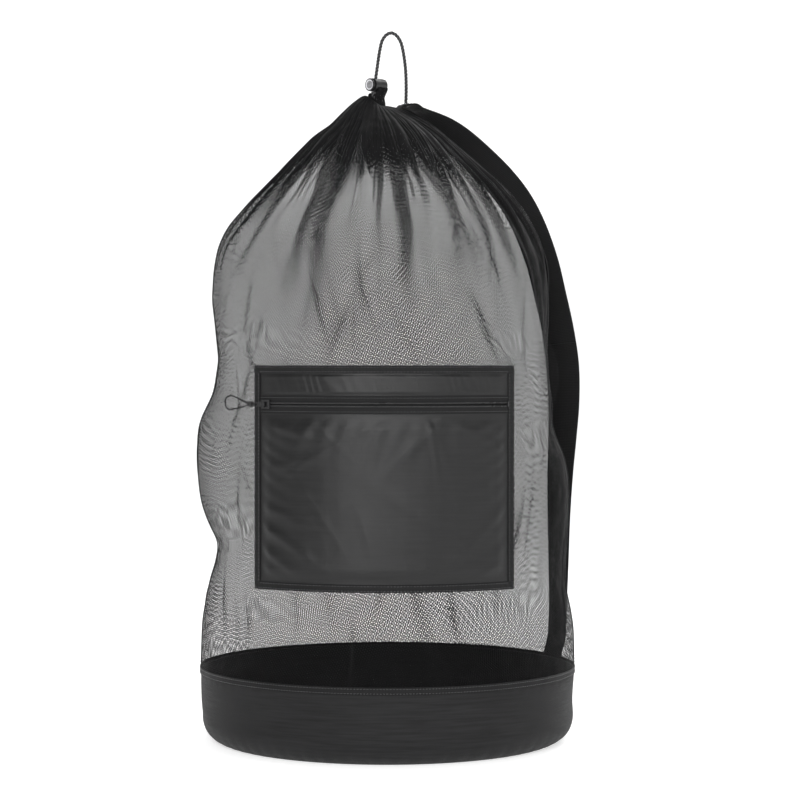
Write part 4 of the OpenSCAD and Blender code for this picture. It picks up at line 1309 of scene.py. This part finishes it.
def make_strap():
    route = evenly(smooth_curve(STRAP_ROUTE, 12) * (MM, MM, MM), 3 * MM)
    run = np.gradient(route[:, :2], axis=0)
    run /= np.linalg.norm(run, axis=1)[:, None]
    turn = np.radians(route[:, 2:] / MM)
    middle = route[:, :1] * STRAP_OUT + route[:, 1:2] * np.array([0, 0, 1])
    out = -run[:, 1:] * STRAP_OUT + run[:, :1] * np.array([0, 0, 1])
    across = np.cos(turn) * STRAP_SIDE + np.sin(turn) * out
    up = np.cos(turn) * out - np.sin(turn) * STRAP_SIDE
    height = route[:, 1]
    fold_at = (25 - 17 * np.exp(-((height - 0.49) / 0.055) ** 2)) * MM

    def bend(start):
        def lifted(x, i):
            i = i + start
            cup = 1.2 * MM * math.sin(math.pi * i / len(middle)) * (2 * x / STRAP_W) ** 2
            beyond = np.maximum(0, x - fold_at[i])
            return -cup - 0.30 * beyond + 0.35 * MM * np.exp(-((x - fold_at[i]) / (1.2 * MM)) ** 2) \
                * ease(STRAP_W / 2 - fold_at[i], 0.5 * MM, 4 * MM)
        return lifted

    half = len(middle) // 2
    section = strap_section(STRAP_W, 2.0 * MM)
    for name, first, last in (("strap_webbing_upper", 0, half + 1), ("strap_webbing_lower", half, len(middle))):
        part = slice(first, last)
        piece = ribbon(name, middle[part], across[part], up[part], section, bend(first))
        piece.data.materials.append(WEBBING)
        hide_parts("strap_webbing")
        if name.endswith("upper"):
            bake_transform(piece)
        else:
            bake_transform(piece)


make_strap()


def boxed(line_a, line_b, normal):
    """A box of stitches with a cross in it, between two parallel edges."""
    p, q, r, s = line_a[0], line_a[1], line_b[1], line_b[0]
    rows_of = []
    for start, end in ((p, q), (q, r), (r, s), (s, p), (p, r), (q, s)):
        points = np.linspace(start, end, 30)
        rows_of.append((points, np.tile(normal, (30, 1))))
    return rows_of


def make_tabs():
    tab_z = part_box("strap_top_tab")[1][2]
    tab_mid = tab_z / MM - 1.25
    line = [strap_point(r, z) for r, z in ((16.6, tab_mid - 5.2), (18.6, tab_mid - 2.6), (21, tab_mid - 0.6), (25, tab_mid),
                                           (32.5, tab_mid - 0.1), (36, tab_mid - 1.7), (42.3, tab_mid - 5.7))]
    line = evenly(smooth_curve(line, 8), 1.0 * MM)
    run, sides, ups = frames_along(line, STRAP_SIDE)
    taper = 0.42 + 0.58 * ease((line @ STRAP_OUT) / MM, 17, 32)
    top_tab = ribbon("strap_top_tab_webbing", line, sides * taper[:, None], ups, strap_section(STRAP_W, 2.4 * MM),
                     lambda x, i: 0)
    hole = lathe("cutter", [(3.1 * MM, 0), (3.1 * MM, 0.1)], 48, (24.5 * MM, 11 * MM, 0.8))
    change = top_tab.modifiers.new("cut", "BOOLEAN")
    change.operation = "DIFFERENCE"
    change.solver = "EXACT"
    change.object = hole
    depsgraph = bpy.context.evaluated_depsgraph_get()
    trimmed = bpy.data.meshes.new_from_object(top_tab.evaluated_get(depsgraph))
    top_tab.modifiers.clear()
    top_tab.data = trimmed
    bpy.data.objects.remove(hole)
    dress(top_tab, WEBBING, "bag", "webbing", "strap_top_tab")
    up = np.array([0, 0, 1.0])

    def on_tab(r, off):
        return STRAP_OUT * r * MM + STRAP_SIDE * off * MM + up * (tab_z - 0.02 * MM)

    rows_of = boxed((on_tab(22, -13), on_tab(32, -21)), (on_tab(22, 13), on_tab(32, 21)), up)[:4]
    dress(stitches("strap_top_stitches", rows_of), THREAD, "bag", "webbing")

    inner = 251.4
    line = [strap_point(r, z) for r, z in ((inner, 56.5), (inner, 70), (inner, 88), (inner, 100),
                                           (252.2, 106), (254.6, 114), (257.4, 122))]
    line = evenly(smooth_curve(line, 8), 2 * MM)
    low_tab = sweep("strap_bottom_tab_webbing", line, strap_section(STRAP_W, 2.0 * MM), side=STRAP_SIDE)
    dress(low_tab, WEBBING, "bag", "webbing", "strap_bottom_tab")

    def on_low(z, off):
        return STRAP_OUT * (inner + 1.02) * MM + STRAP_SIDE * off * MM + up * z * MM

    rows_of = boxed((on_low(60, -21), on_low(98, -21)), (on_low(60, 21), on_low(98, 21)), STRAP_OUT)
    dress(stitches("strap_bottom_stitches", rows_of), THREAD, "bag", "webbing")


make_tabs()


# ---------------------------------------------------------------- zip pull's cord

def make_pull_cord():
    pull_r, pull_a = 253.05 * MM, math.radians(232.288)
    out = np.array([math.cos(pull_a), math.sin(pull_a), 0])
    back = np.array([math.sin(pull_a), -math.cos(pull_a), 0])
    start = out * pull_r + np.array([0, 0, 451 * MM])
    route = [(11.9, 0, 0), (12.4, -1.6, 0.1), (14, -2.2, 0.3), (16.2, -1.5, 0.8), (18.5, 0, 1.05), (25.5, 0, 1.05),
             (29.5, 0, 2.4), (40.5, 0, 6.6), (51.5, 0, 9.8), (58, 0, 10), (62.5, 0, 7.2), (64, 0, 2),
             (63, 0, -3.5), (59, 0, -6.8), (53, 0, -6.8), (40.5, 0, -4.6), (29.5, 0, -2.2), (25.5, 0, -1.05),
             (18.5, 0, -1.05), (16.2, 1.5, -0.8), (14, 2.2, -0.3), (12.4, 1.6, -0.1), (12.0, 0.9, 0.0)]
    points = [start + back * x * MM + out * y * MM + np.array([0, 0, z * MM]) for x, y, z in route]
    line = evenly(smooth_curve(points, 8), 0.8 * MM)
    piece = sweep("zip_pull_loop", line, circle_section(1.0 * MM, 10), side=(0, 0, 1))
    dress(piece, PULL_ROPE, "zip_pull", "cord", "zip_pull_cord")


make_pull_cord()


# ---------------------------------------------------------------- hard parts kept from the CAD

def keep(node, material, bevel=0.25 * MM):
    """Keeps a CAD solid, with its edges eased and its own material."""
    obj = frame["nodes"][node]
    obj.data.materials.clear()
    obj.data.materials.append(material)
    ease_edges = obj.modifiers.new("eased_edges", "BEVEL")
    ease_edges.width = bevel
    ease_edges.segments = 3
    ease_edges.limit_method = "ANGLE"
    ease_edges.angle_limit = math.radians(40)
    ease_edges.harden_normals = False


LOCK_AXIS = np.array([math.cos(math.radians(226)), math.sin(math.radians(226)), 0])
LOCK_MID = CORD_EXIT + 9.9 * MM * CORD_LEAN


def button_material():
    """Black plastic whose end has a bright ring round a grey, dotted middle."""
    m = Nodes("button")
    place = m.add("ShaderNodeVectorMath", {0: m.add("ShaderNodeTexCoord").outputs["Object"],
                                           1: tuple(LOCK_MID)}, operation="SUBTRACT").outputs[0]
    along = m.add("ShaderNodeVectorMath", {0: place, 1: tuple(LOCK_AXIS)}, operation="DOT_PRODUCT").outputs["Value"]
    off = m.add("ShaderNodeVectorMath", {0: place, 1: tuple(LOCK_AXIS)}, operation="CROSS_PRODUCT").outputs[0]
    radius = m.add("ShaderNodeVectorMath", {0: off}, operation="LENGTH").outputs["Value"]
    on_end = m.math("GREATER_THAN", along, 9.4 * MM)
    dots = m.add("ShaderNodeTexVoronoi", {"Scale": 750.0}).outputs["Distance"]
    haze = m.noise(300, 3)
    middle = m.blend(m.math("MULTIPLY_ADD", dots, 0.6, m.math("MULTIPLY", haze, 0.5)), grey(0.03), grey(0.36))
    ring = m.blend(haze, grey(0.55), grey(0.8))
    inside = m.math("LESS_THAN", radius, 5.3 * MM)
    within = m.math("MULTIPLY", on_end, m.math("LESS_THAN", radius, 6.8 * MM))
    colour = m.blend(within, grey(0.008), m.blend(inside, ring, middle))
    return m.finish(colour, m.span(haze, 0.3, 0.7, 0.25, 0.45), m.bump(dots, 0.15 * MM, 0.6),
                    Specular_IOR_Level=0.5)


def make_spring():
    """The lock's spring: a coil along the lock's axis."""
    low, high, coil_r, wire, turns = -13.7 * MM, -5.5 * MM, 4.8 * MM, 0.45 * MM, 4
    t = np.linspace(0, 1, turns * 40 + 1)
    side = np.array([-LOCK_AXIS[1], LOCK_AXIS[0], 0])
    up = np.array([0, 0, 1.0])
    rise = np.clip((t - 0.11) / 0.78, 0, 1)
    turn = TAU * turns * t
    points = (LOCK_MID + np.outer(low + (high - low) * rise, LOCK_AXIS)
              + coil_r * (np.outer(np.cos(turn), side) + np.outer(np.sin(turn), up)))
    spring = sweep("lock_spring_coil", points, circle_section(wire, 12), side=tuple(LOCK_AXIS))
    dress(spring, STEEL, "cord_lock", "metal", "cord_lock_spring")
    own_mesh(spring)


make_spring()
keep("hem_eyelet", DARK_METAL, 0.15 * MM)
keep("strap_eyelet", STEEL, 0.2 * MM)
keep("cord_lock_body", LOCK_PLASTIC)
keep("cord_lock_button", button_material(), 0.2 * MM)
keep("zip_stops", DARK_METAL, 0.15 * MM)
keep("zip_slider", SLIDER_METAL, 0.2 * MM)
keep("zip_pull_tab", SLIDER_METAL, 0.2 * MM)
keep("zip_pull_bead", LOCK_PLASTIC, 0.2 * MM)
